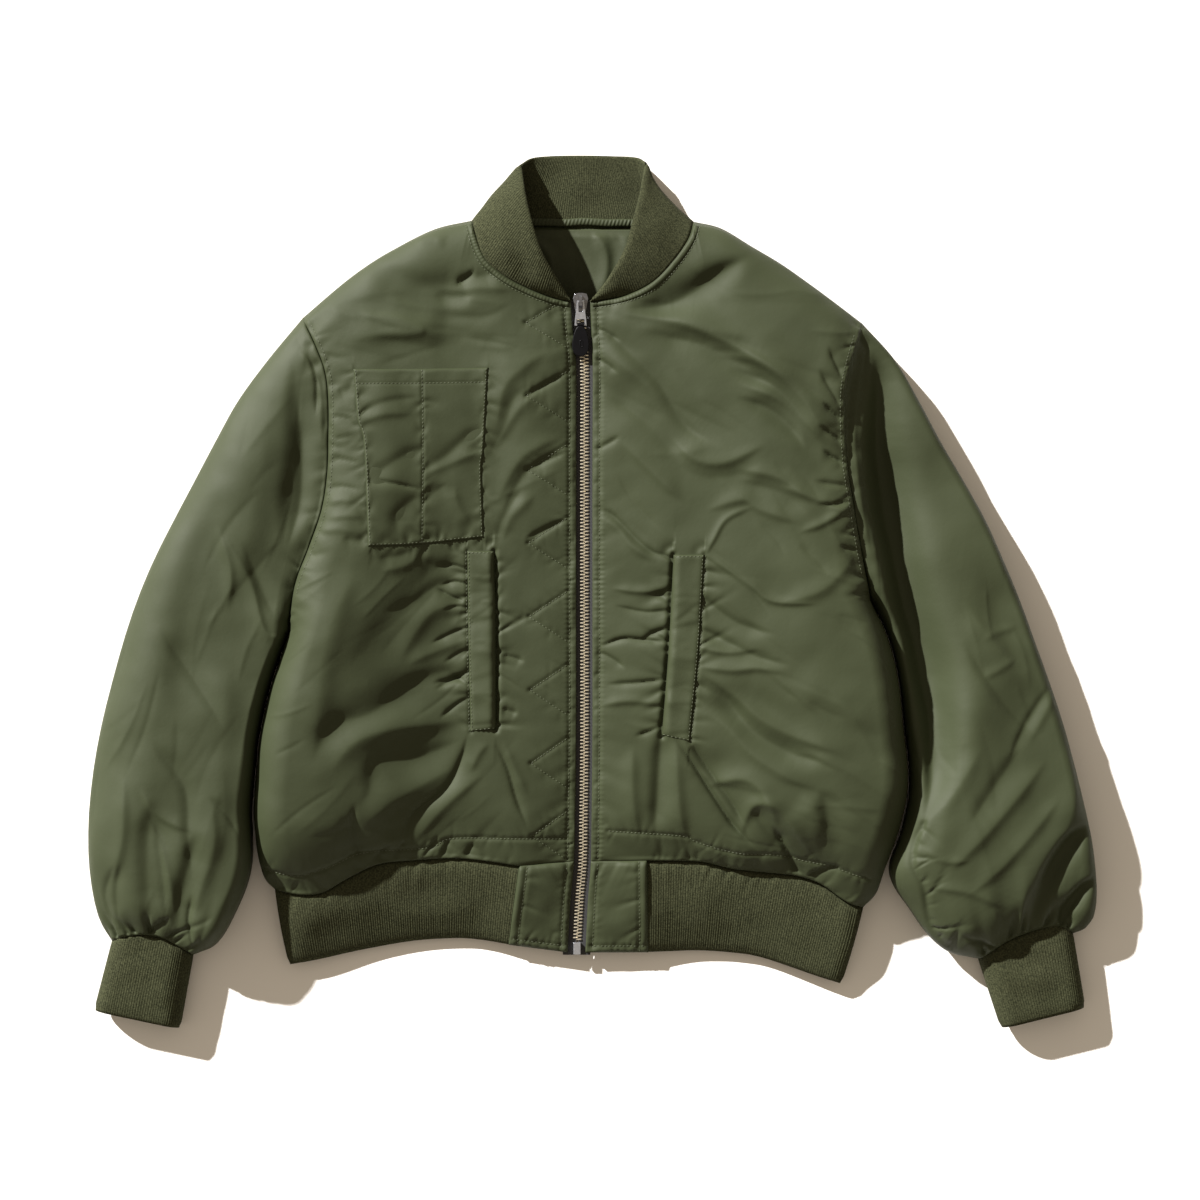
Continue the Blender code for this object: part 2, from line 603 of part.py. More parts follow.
def make_back():
    """The back lies on the table and turns up at the shoulders and sides; returns its inside."""
    u = back_columns()
    v = np.concatenate([0.5 * close_at_both(UNDER_ARMHOLE_CELLS),
                        (0.5 + 0.5 * close_at_both(BACK_SIDE_CELLS, 0.5))[1:]])
    sides = {}
    for side in ("right", "left"):
        armhole = armhole_edge(side, close_at_both(UNDER_ARMHOLE_CELLS), upper=False)
        fold = sample(OUTLINE[side]["side"], close_at_both(BACK_SIDE_CELLS, 0.5))
        fold = np.column_stack([fold, np.full(len(fold), FOLD_Z)])
        sides[side] = np.vstack([armhole, fold[1:]])
    shoulders = {side: sample(OUTLINE[side]["shoulder"], close_at_start(BACK_SHOULDER_CELLS))
                 for side in sides}
    shoulders = {side: np.column_stack([line, np.full(len(line), FOLD_Z)])
                 for side, line in shoulders.items()}
    top = np.vstack([shoulders["right"], back_neck_edge()[1:], shoulders["left"][::-1][1:]])
    bottom = back_hem_edge()
    grid = fill(sides["right"], sides["left"], top, bottom, u, v)

    lie = np.ones(grid.shape[:2])
    for side in ("right", "left"):
        for name in ("shoulder", "side"):
            gap = distance_to(spline(OUTLINE[side][name]), grid[..., 0], grid[..., 1])
            lie *= dome(gap, CURL)
    grid[1:-1, 1:-1, 2] = (FOLD_Z * (1.0 - lie))[1:-1, 1:-1]

    underarm = UNDER_ARMHOLE_CELLS
    first, last = BACK_SHOULDER_CELLS, len(u) - 1 - BACK_SHOULDER_CELLS
    grid[:, -1] = shift(grid[:, -1], SEAM / 2)
    grid[first : last + 1, 0] = shift(grid[first : last + 1, 0], -SEAM / 2)
    grid[0, : underarm + 1] = shift(grid[0, : underarm + 1], SEAM / 2)
    grid[-1, : underarm + 1] = shift(grid[-1, : underarm + 1], -SEAM / 2)
    grid[..., 2] -= SEAM / 2 * (grid[..., 2] > FOLD_Z - SEAM / 2)

    inner = offset_inside(grid, CLOTH, upper=False)
    inner[first : last + 1, 0] = seam_rim(grid[first : last + 1, 0], CLOTH, False, True, True)
    inner[:, -1] = seam_rim(grid[:, -1], CLOTH, False, True, True)
    for i, step in ((0, 1), (-1, -1)):
        inner[i, underarm:-1] = fold_rim(grid[i, underarm:], grid[i + step, underarm:], CLOTH)[:-1]
        armhole = seam_rim(grid[i, : underarm + 1], CLOTH, False, True, True)
        inner[i, 1:underarm] = armhole[1:underarm]
    for part in (slice(0, first + 1), slice(last, None)):
        rim = fold_rim(grid[part, 0], grid[part, 1], CLOTH)
        keep = slice(1, -1)
        inner[part, 0][keep] = rim[keep]
    inner[0, 0] = seam_rim(grid[0, : underarm + 1], CLOTH, False, True, True)[0]
    inner[-1, 0] = seam_rim(grid[-1, : underarm + 1], CLOTH, False, True, True)[0]
    wall_solid("back", "olive_nylon", grid, inner)
    return inner


def sleeve_rows():
    share = even(SLEEVE_ROWS)
    return share - ROW_CROWDING * np.sin(2.0 * math.pi * share)


def sleeve_fold_z(v):
    return FOLD_Z + (CUFF_FOLD_Z - FOLD_Z) * ease((v - CUFF_TAPER) / (1.0 - CUFF_TAPER))


def sleeve_inner_line(side):
    """Folded inner line of a sleeve: beside the body from the underarm, then free."""
    beside = np.array(OUTLINE[side]["side"][:-4], dtype=float)
    away = -1.0 if side == "right" else 1.0
    beside[1:, 0] += away * SHELF
    reach = OUTLINE[side]["inner_end"][0][1]
    beside = [tuple(point) for point in beside if point[1] > reach + 12.0]
    return beside + OUTLINE[side]["inner_end"]


def sleeve_grid(side, upper):
    """Outer points of a sleeve panel, from outer to inner fold and from armhole to cuff."""
    outline = OUTLINE[side]
    u = close_at_both(ARMHOLE_CELLS if upper else UNDER_ARMHOLE_CELLS)
    v = sleeve_rows()
    edge_z = sleeve_fold_z(v)
    outer = np.column_stack([sample(outline["outer"], v), edge_z])
    inner = np.column_stack([sample(sleeve_inner_line(side), v), edge_z])
    top = armhole_edge(side, u, upper)
    bottom = sample(outline["cuff_seam"], u)
    s = travel(bottom)
    if upper:
        rise = dome(s, RISE["cuff_end"]) * dome(s[-1] - s, RISE["cuff_end"])
        bottom_z = CUFF_FOLD_Z + (CUFF_Z - CUFF_FOLD_Z) * rise
    else:
        lie = dome(s, RISE["cuff_under"]) * dome(s[-1] - s, RISE["cuff_under"])
        bottom_z = CUFF_FOLD_Z * (1.0 - lie)
    bottom = np.column_stack([bottom, bottom_z])
    outer[0], inner[0] = top[0], top[-1]
    outer[-1], inner[-1] = bottom[0], bottom[-1]
    grid = fill(outer, inner, top, bottom, u, v)
    near_outer, near_inner = column_distance(grid, 0), column_distance(grid, -1)
    if upper:
        table = np.array(SLEEVE_SECTIONS[side], dtype=float)
        target = np.tile(np.interp(v, table[:, 0], table[:, 1]), (len(u), 1))
        target += folds(SLEEVE_FOLDS[side], grid[..., 0], grid[..., 1])
        rise = dome(near_outer, RISE["sleeve_outer"]) * dome(near_inner, RISE["sleeve_inner"])
        for row in (0, -1):
            rise *= dome(row_distance(grid, row), RISE["sleeve_ends"])
        grid[..., 2] += (target - grid[..., 2]) * rise
    else:
        lie = (dome(distance_to(outer, grid[..., 0], grid[..., 1]), CURL)
               * dome(distance_to(inner, grid[..., 0], grid[..., 1]), CURL))
        level = edge_z[None, :] * (1.0 - lie)
        grid[1:-1, 1:-1, 2] = level[1:-1, 1:-1]
    return grid


def make_sleeve(side, upper):
    grid = sleeve_grid(side, upper)
    cuff_edge = grid[:, -1].copy()
    turn = 1.0 if side == "right" else -1.0
    lift = SEAM / 2 if upper else -SEAM / 2
    grid[:, 0] = shift(grid[:, 0], -turn * SEAM / 2)
    grid[:, -1] = shift(grid[:, -1], turn * SEAM / 2)
    grid[0, :, 2] += lift
    grid[-1, :, 2] += lift
    inner = offset_inside(grid, CLOTH, upper)
    inner[0] = fold_rim(grid[0], grid[1], CLOTH)
    inner[-1] = fold_rim(grid[-1], grid[-2], CLOTH)
    inner[:, 0] = seam_rim(grid[:, 0], CLOTH, upper, True, True)
    inner[:, -1] = seam_rim(grid[:, -1], CLOTH, upper, True, True)
    part = "upper" if upper else "under"
    wall_solid(f"sleeve_{side}_{part}", "olive_nylon", grid, inner)
    return cuff_edge


def make_cuff(side, top_edge, under_edge):
    """A knitted tube on the sleeve's end: over the top from outer to inner, back underneath."""
    turn = 1.0 if side == "right" else -1.0
    end = np.array(OUTLINE[side]["cuff_end"], dtype=float)
    sections = []
    for edge, upper in ((top_edge, True), (under_edge, False)):
        seam = shift(edge, -turn * SEAM / 2)
        share = travel(edge) / travel(edge)[-1]
        line = end[0] + (end[1] - end[0]) * share[:, None]
        s = travel(line)
        reach = dome(s, RISE["cuff_under"]) * dome(s[-1] - s, RISE["cuff_under"])
        level = CUFF_END_Z if upper else 0.0
        z = CUFF_FOLD_Z + (level - CUFF_FOLD_Z) * reach
        free = np.column_stack([line, z])
        share_down = even(CUFF_ROWS)[None, :, None]
        outer = seam[:, None] * (1 - share_down) + free[:, None] * share_down
        rims = [seam_rim(line, RIB, upper, True, True) for line in (seam, free)]
        inner = rims[0][:, None] * (1 - share_down) + rims[1][:, None] * share_down
        sections.append((outer, inner))
    (top, top_in), (under, under_in) = sections
    outer = np.concatenate([top, under[-2:0:-1]])
    inner = np.concatenate([top_in, under_in[-2:0:-1]])
    wall_solid(f"cuff_{side}", "olive_rib", outer, inner, ring=True)


def band_solid(name, parts, rows, swell, waist=None):
    """A knitted band that is folded round the jacket, from front end to front end.

    parts are (seam line, points of the free edge, upper) for the right front, the back and
    the left front. The folds between them belong to the back.
    """
    down = even(rows)[None, :, None]
    outer, inner, level = [], [], []
    keep = (slice(0, -1), slice(0, None), slice(1, None))
    for number, (seam, free_points, upper) in enumerate(parts):
        free = sample(free_points, travel(seam) / travel(seam)[-1])
        free[:, 2] = np.maximum(free[:, 2], 0.0)
        rims = [seam_rim(line, RIB, upper, number > 0, number < len(parts) - 1)
                for line in (seam, free)]
        outer.append((seam[:, None] * (1 - down) + free[:, None] * down)[keep[number]])
        inner.append((rims[0][:, None] * (1 - down) + rims[1][:, None] * down)[keep[number]])
        level.append(np.full(len(outer[-1]), swell if upper else 0.0))
    sides = (len(outer[0]), len(outer[0]) + len(outer[1]) - 1)
    outer, inner = np.concatenate(outer), np.concatenate(inner)
    if waist:
        curve = np.sin(math.pi * down[0, :, 0])
        for fold, amount in zip(sides, (waist["right"], -waist["left"])):
            apart = (travel(outer[:, 0]) - travel(outer[:, 0])[fold]) / waist["reach"]
            pull = amount * np.exp(-apart**2)[:, None] * curve
            outer[..., 0] += pull
            inner[..., 0] += pull
    normal = surface_normals(outer)
    if normal[:3, :, 2].mean() < 0.0:
        normal = -normal
    bulge = normal * np.sin(math.pi * down) * np.concatenate(level)[:, None, None]
    wall_solid(name, "olive_rib", outer + bulge, inner + bulge)
    return outer + bulge


def make_collar():
    right = shift(neck_edge("right"), SEAM / 2)[::-1]
    back = shift(back_neck_edge(), SEAM / 2)
    left = shift(neck_edge("left"), -SEAM / 2)
    corner_right, corner_left = back[0].copy(), back[-1].copy()
    right[-1], left[0] = corner_right, corner_left
    parts = [(right, COLLAR_RIGHT, True), (back, COLLAR_BACK, False), (left, COLLAR_LEFT, True)]
    band_solid("collar_rib", parts, COLLAR_ROWS, COLLAR_SWELL, COLLAR_WAIST)


def make_hem():
    """The hem band, and the seam line that it leaves for the tabs."""
    right = shift(hem_edge("right"), -SEAM / 2)
    left = shift(hem_edge("left"), SEAM / 2)
    back = shift(back_hem_edge(), -SEAM / 2)
    band = len(rib_shares())
    right_band, left_band = right[:band][::-1].copy(), left[:band].copy()
    right_band[-1], left_band[0] = back[0], back[-1]
    parts = [(right_band, RIB_RIGHT, True), (back, RIB_BACK, False), (left_band, RIB_LEFT, True)]
    outer = band_solid("hem_rib", parts, HEM_ROWS, RIB_SWELL)
    make_tab("right", right[band - 1 :], outer[0])
    make_tab("left", left[band - 1 :], outer[-1])


def make_tab(side, seam, band_end):
    """Nylon end of the hem band, between the band and the zip."""
    v = even(TAB_ROWS)
    beside = sample(band_end, v)
    sign = 1.0 if side == "right" else -1.0
    beside[:, 0] += sign * SEAM
    inner_side = zip_edge(side, seam[-1, 1] + v * (TAB_END - seam[-1, 1]))
    bottom = beside[-1] + (inner_side[-1] - beside[-1]) * even(TAB_CELLS)[:, None]
    top = seam.copy()
    top[0], inner_side[0] = beside[0], top[-1]
    grid = fill(beside, inner_side, top, bottom, even(TAB_CELLS), v)
    wall_solid(f"hem_tab_{side}", "olive_nylon", grid, grid - (0.0, 0.0, CLOTH))


# ---- Pieces that lie on a panel ------------------------------------------------------
def ground_height(ground, x, y):
    """Height of a panel's triangles under points in plan."""
    a, b = ground[:-1, :-1].reshape(-1, 3), ground[1:, :-1].reshape(-1, 3)
    c, d = ground[1:, 1:].reshape(-1, 3), ground[:-1, 1:].reshape(-1, 3)
    best = np.full(x.shape, -1.0)
    for p, q, r in ((a, b, c), (a, c, d)):
        area = (q[:, 0] - p[:, 0]) * (r[:, 1] - p[:, 1]) - (q[:, 1] - p[:, 1]) * (r[:, 0] - p[:, 0])
        px, py = x[..., None] - p[:, 0], y[..., None] - p[:, 1]
        s = (px * (r[:, 1] - p[:, 1]) - py * (r[:, 0] - p[:, 0])) / area
        t = (py * (q[:, 0] - p[:, 0]) - px * (q[:, 1] - p[:, 1])) / area
        inside = (s >= -1e-6) & (t >= -1e-6) & (s + t <= 1 + 1e-6)
        z = p[:, 2] + s * (q[:, 2] - p[:, 2]) + t * (r[:, 2] - p[:, 2])
        best = np.maximum(best, np.where(inside, z, -1.0).max(axis=-1))
    return best


def make_patch(name, finish, corners, cells, ground, thick):
    """A flat piece laid on a panel, clear of it by the seam gap."""
    corners = np.array(corners, dtype=float)
    u, v = even(cells[0])[:, None, None], even(cells[1])[None, :, None]
    plan = ((1 - u) * (1 - v) * corners[0] + u * (1 - v) * corners[1]
            + u * v * corners[2] + (1 - u) * v * corners[3])
    z = ground_height(ground, plan[..., 0], plan[..., 1]) + SEAM
    shares = [(a, b, 1 - a - b) for a in np.linspace(0, 1, 7) for b in np.linspace(0, 1 - a, 7)]
    for _ in range(3):
        for i in range(cells[0]):
            for j in range(cells[1]):
                for corner in ((i + 1, j), (i, j + 1)):
                    trio = [(i, j), corner, (i + 1, j + 1)]
                    points = np.array([[*plan[k], z[k]] for k in trio])
                    spots = np.array(shares) @ points
                    need = ground_height(ground, spots[:, 0], spots[:, 1]) + SEAM - spots[:, 2]
                    for k in trio:
                        z[k] += max(need.max(), 0.0)
    under = np.concatenate([plan, z[..., None]], axis=2)
    wall_solid(name, finish, under + (0.0, 0.0, thick), under)


# ---- Zip pieces ------------------------------------------------------------------
def make_tapes():
    rows = np.concatenate([[TAPE_TOP], ZIP_TOP + front_rows()[1:] * (ZIP_HEM - ZIP_TOP)])
    rows = np.concatenate([rows, ZIP_HEM + even(TAB_ROWS)[1:] * (TAPE_END - ZIP_HEM)])
    centre, half, edge_z = zip_at(rows)
    for side, sign in (("right", -1.0), ("left", 1.0)):
        across = np.stack([centre + sign * TAPE_INNER, centre + sign * half,
                           centre + sign * (half + TAPE_HIDDEN)])
        y, z = np.broadcast_to(rows, across.shape), np.broadcast_to(edge_z, across.shape)
        top = np.stack([across, y, z - CLOTH - SEAM], axis=2)
        wall_solid(f"zip_tape_{side}", "charcoal_tape", top, top - (0.0, 0.0, TAPE))


def prism(outline, z0, z1):
    """Points and faces of an upright prism; the outline runs anticlockwise."""
    count = len(outline)
    points = [(x, y, z) for z in (z0, z1) for x, y in outline]
    faces = [tuple(range(count - 1, -1, -1)), tuple(range(count, 2 * count))]
    for k in range(count):
        n = (k + 1) % count
        faces.append((k, n, count + n, count + k))
    return points, faces


def bevelled(made, width, segments=2):
    bevel = made.modifiers.new("Bevel", "BEVEL")
    bevel.width = width * MM
    bevel.segments = segments
    bevel.limit_method = "ANGLE"
    bevel.angle_limit = math.radians(40.0)
    return made


def united(made, others):
    """Join the other closed shapes into the first one and remove them."""
    for other in others:
        union = made.modifiers.new("Union", "BOOLEAN")
        union.operation = "UNION"
        union.solver = "EXACT"
        union.object = other
    graph = bpy.context.evaluated_depsgraph_get()
    joined = bpy.data.meshes.new_from_object(made.evaluated_get(graph))
    made.modifiers.clear()
    old = made.data
    made.data = joined
    joined.name = made.name
    bpy.data.meshes.remove(old)
    for other in others:
        bpy.data.objects.remove(other)
    made.data.shade_smooth()
    made.data.set_sharp_from_angle(angle=math.radians(35.0))
    return made


def slider_levels():
    """Heights of the slider: middle of the tapes, face of the upper plate, lever axis."""
    middle = zip_at(SLIDER["axis_y"])[2] - CLOTH - SEAM - TAPE / 2
    face = middle + SLIDER["channel"] / 2 + SLIDER["plate"]
    return middle, face, face + SLIDER["axis_lift"]


def make_slider():
    """Two plates round the tapes, the neck that joins them and the crown for the lever."""
    s = SLIDER
    x, top, bottom = s["x"], s["top"], s["bottom"]
    shoulder = top - 5.0
    plate = [(x - s["narrow"], bottom), (x + s["narrow"], bottom), (x + s["wide"], shoulder),
             (x + s["wide"] - 1.4, top - 0.8), (x + 1.6, top), (x - 1.6, top),
             (x - s["wide"] + 1.4, top - 0.8), (x - s["wide"], shoulder)]
    middle, face, _ = slider_levels()
    half = s["channel"] / 2
    levels = {"zip_slider": (face - s["plate"], face),
              "lower_plate": (middle - half - s["plate"], middle - half)}
    shapes = [bevelled(add_object(name, "silver_metal", *prism(plate, *z)), 0.35)
              for name, z in levels.items()]
    neck = [(x - s["neck"], TAPE_TOP + SEAM), (x + s["neck"], TAPE_TOP + SEAM),
            (x + s["neck"] + 1.2, top - 1.2), (x - s["neck"] - 1.2, top - 1.2)]
    shapes.append(add_object("neck", "silver_metal", *prism(neck, middle - half - 0.6, face - 0.6)))
    shapes.append(crown_shape(face))
    united(shapes[0], shapes[1:])


def crown_shape(face):
    """The crown: a bridge along the zip that the lever's bar passes under."""
    s = SLIDER
    centre, half, rise, bar = s["axis_y"], s["crown_half"], s["crown_rise"], s["crown_bar"]
    arch = [(centre - half, face - 0.5), (centre - half, face + rise * 0.55),
            (centre - half * 0.7, face + rise), (centre + half * 0.7, face + rise),
            (centre + half, face + rise * 0.55), (centre + half, face - 0.5),
            (centre + half - bar, face - 0.5), (centre + half - bar, face + rise * 0.5),
            (centre + half * 0.62 - bar * 0.4, face + rise - bar),
            (centre - half * 0.62 + bar * 0.4, face + rise - bar),
            (centre - half + bar, face + rise * 0.5), (centre - half + bar, face - 0.5)]
    width = s["crown_width"] / 2
    points = [(s["x"] + side * width, y, z) for side in (-1, 1) for y, z in arch]
    count = len(arch)
    faces = [(k, (k + 1) % count, count + (k + 1) % count, count + k) for k in range(count)]
    caps = [(0, 1, 10, 11), (1, 2, 9, 10), (2, 3, 8, 9), (3, 4, 7, 8), (4, 5, 6, 7)]
    faces += [tuple(reversed(cap)) for cap in caps]
    faces += [tuple(count + k for k in cap) for cap in caps]
    return add_object("crown", "silver_metal", points, faces)


def lever_lines():
    """Lengths down the lever from its axis: bar, hole, plate, slot and end bar."""
    g = LEVER
    steps = [-g["bar"] / 2, g["bar"], g["hole"], g["plate"], g["slot"], g["end_bar"]]
    return np.cumsum(steps)


def make_lever(parent):
    """Metal lever: the bar under the crown, a hole for the crown, a slot for the tab."""
    g = LEVER
    lines = lever_lines()
    halves = g["top_half"] + (g["end_half"] - g["top_half"]) * ease(lines / lines[-1])
    holes = [g["hole_half"], g["hole_half"], g["hole_half"], g["slot_half"], g["slot_half"],
             g["slot_half"]]
    thick = g["bar"] / 2
    points, faces = [], []
    for z in (-thick, thick):
        for down, half, hole in zip(lines, halves, holes):
            points += [(across, -down, z) for across in (-half, -hole, hole, half)]
    rows, columns = len(lines), 4
    layer = rows * columns
    solid = {(row, col): not (col == 1 and row in (1, 3)) for row in range(rows - 1)
             for col in range(columns - 1)}
    for (row, col), filled in solid.items():
        if not filled:
            continue
        a, b = row * columns + col, row * columns + col + 1
        d, c = a + columns, b + columns
        faces += [(a, b, c, d), tuple(layer + k for k in (d, c, b, a))]
        for (dr, dc), (p, q) in {(-1, 0): (b, a), (1, 0): (d, c), (0, -1): (a, d), (0, 1): (c, b)}.items():
            if not solid.get((row + dr, col + dc), False):
                faces.append((p, q, layer + q, layer + p))
    made = bevelled(add_object("zip_lever", "silver_metal", points, faces, 35.0), 0.2, 1)
    made.parent = parent
    return made


def make_pull_tab(parent):
    """Black moulded pull: an oval plate with a barrel round the lever's end bar."""
    g = TAB
    angles = 2.0 * math.pi * np.arange(g["sides"]) / g["sides"]
    middle = -(g["barrel_out"] * 0.6 + g["length"] / 2)
    narrow = 0.78 + 0.22 * np.clip(-np.sin(angles) + 0.6, 0.0, 1.0)
    outline = [(g["half"] * n * math.copysign(abs(math.cos(a)) ** 0.75, math.cos(a)),
                middle + g["length"] / 2 * math.copysign(abs(math.sin(a)) ** 0.85, math.sin(a)))
               for a, n in zip(angles, narrow)]
    plate = add_object("zip_tab", "black_rubber", *prism(outline, g["lift"], g["lift"] + g["thick"]))
    bevelled(plate, 0.6)
    around = 2.0 * math.pi * np.arange(14) / 14
    points = [(side * g["barrel_half"], radius * math.cos(a), radius * math.sin(a))
              for side in (-1, 1) for radius in (g["barrel_in"], g["barrel_out"]) for a in around]
    faces = []
    for k in range(14):
        n = (k + 1) % 14
        faces += [(k, n, 14 + n, 14 + k), (28 + n, 28 + k, 42 + k, 42 + n),
                  (14 + k, 14 + n, 42 + n, 42 + k), (n, k, 28 + k, 28 + n)]
    barrel = add_object("barrel", "black_rubber", points, faces)
    united(plate, [barrel])
    plate.parent = parent
    return plate


def empty(name, place, parent=None):
    made = bpy.data.objects.new(name, None)
    made.location = [value * MM for value in place]
    made.parent = parent
    bpy.context.collection.objects.link(made)
    return made


def make_zip():
    make_tapes()
    make_slider()
    axis_z = slider_levels()[2]
    lever_axis = empty("lever_axis", (SLIDER["x"], SLIDER["axis_y"], axis_z))
    make_lever(lever_axis)
    down = lever_lines()[-1] - LEVER["end_bar"] / 2
    make_pull_tab(empty("tab_axis", (0.0, -down, 0.0), lever_axis))
    centre = float(zip_at(BOX["top"])[0])
    floor = float(zip_at(BOX["top"])[2]) - CLOTH
    box = [(centre - BOX["half"], BOX["bottom"]), (centre + BOX["half"], BOX["bottom"]),
           (centre + BOX["half"], BOX["top"]), (centre - BOX["half"], BOX["top"])]
    bevelled(add_object("zip_box", "silver_metal", *prism(box, floor, floor + BOX["thick"])), 0.5)


def main():
    for old in list(bpy.data.objects):
        bpy.data.objects.remove(old)
    fronts = {side: make_front(side) for side in ("right", "left")}
    back_inside = make_back()
    make_patch("back_lining", "olive_nylon", LINING_EDGE, (6, 4), back_inside, LINING)
    for side in ("right", "left"):
        top = make_sleeve(side, upper=True)
        under = make_sleeve(side, upper=False)
        make_cuff(side, top, under)
    make_collar()
    make_hem()
    make_patch("pocket_chest", "olive_nylon", POCKET, (6, 8), fronts["right"], PATCH)
    make_patch("welt_right", "olive_nylon", WELT_RIGHT, (2, 9), fronts["right"], PATCH)
    make_patch("welt_left", "olive_nylon", WELT_LEFT, (2, 9), fronts["left"], PATCH)
    make_zip()


main()
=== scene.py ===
"""Looks of a padded nylon bomber jacket, zipped up and laid flat on its back.

The frame's axes: +X is the wearer's left, +Y runs from hem to collar, +Z is up.
Right and left are the wearer's own. Tables and sizes are in millimetres.
"""

import math

import bpy
import numpy as np
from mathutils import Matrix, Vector
from mathutils.bvhtree import BVHTree


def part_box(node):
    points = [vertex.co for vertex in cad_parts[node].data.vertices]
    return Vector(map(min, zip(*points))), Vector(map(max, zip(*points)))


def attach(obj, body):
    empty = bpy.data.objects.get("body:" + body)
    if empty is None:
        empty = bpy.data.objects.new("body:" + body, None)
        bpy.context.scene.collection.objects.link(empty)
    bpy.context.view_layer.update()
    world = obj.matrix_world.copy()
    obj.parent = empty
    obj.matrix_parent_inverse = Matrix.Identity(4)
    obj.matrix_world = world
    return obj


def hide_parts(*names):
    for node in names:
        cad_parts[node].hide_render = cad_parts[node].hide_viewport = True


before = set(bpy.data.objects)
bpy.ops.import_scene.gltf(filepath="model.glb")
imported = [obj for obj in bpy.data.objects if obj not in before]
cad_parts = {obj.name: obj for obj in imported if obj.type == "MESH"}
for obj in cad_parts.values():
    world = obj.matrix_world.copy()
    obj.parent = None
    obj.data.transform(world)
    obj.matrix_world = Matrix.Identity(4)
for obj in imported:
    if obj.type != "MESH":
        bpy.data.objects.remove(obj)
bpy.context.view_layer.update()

MM = 0.001

SIDES = ("right", "left")
SIGN = {"right": -1.0, "left": 1.0}      # the way along X from the zip to a side
OTHER = {"right": "left", "left": "right"}

# ---- Form of the jacket, as in the solids -----------------------------------------
CLOTH = 3.0              # thickness of the nylon walls
RIB = 3.0                # thickness of the knitted walls
FOLD_Z = 21.0            # height of the folds at the sides of body and sleeves
CURL = 24.0              # width in which the underside curls up to a fold
SHELF = 1.2              # gap in plan between the body's fold and the sleeve beside it
ARMHOLE_Z = 46.0         # heights of the seams, away from their ends
NECK_Z = 42.0
HEM_Z = 27.0
CUFF_Z = 28.0
CUFF_FOLD_Z = 13.0       # height of the cuff's two folds
CUFF_END_Z = 25.0        # height of the top of its open end
RIB_FOLD_Z = 10.0        # height of the hem band's two folds

# Widths in plan within which the padding rises from its ends and edges, and how round it rises.
RISE = {"armhole_end": 60.0, "neck_end": 45.0, "hem_end": 24.0, "cuff_end": 22.0, "cuff_under": 16.0,
        "front_zip": 60.0, "front_top": 46.0, "front_hem": 70.0, "sleeve_ends": 34.0}
SIDE_RISE = {"right": 34.0, "left": 27.0}
SLEEVE_RISE = {"right": (84.0, 14.0), "left": (15.0, 50.0)}          # outer and inner fold
SLEEVE_EDGE_POWER = {"right": (0.5, 0.36), "left": (0.36, 0.5)}
ZIP_RISE_POWER = 0.8
HEM_RISE_POWER = 0.7
SLEEVE_TILT = {"right": 0.0, "left": 15.0}     # how far the crown falls to the outer fold
CROWN_SHARE = {"right": 0.17, "left": 0.16}    # share of a front's width where its swell starts to fall
SLOPE_SHARE = {"right": 0.42, "left": 0.75}    # share over which it falls to the middle
CUFF_TAPER = 0.82        # share of a sleeve's fold where it starts to fall to the cuff
SHOULDER_SHARE = 0.6     # share of a front's top line that is shoulder; the rest is neck
ARMHOLE_SHARE = 0.5      # share of its side line that is armhole
TAB_SHARE = 0.783        # share of its hem line that the knitted band takes
BACK_TOP = (0.30, 0.70)  # shares of the back's top line where the neck starts and ends

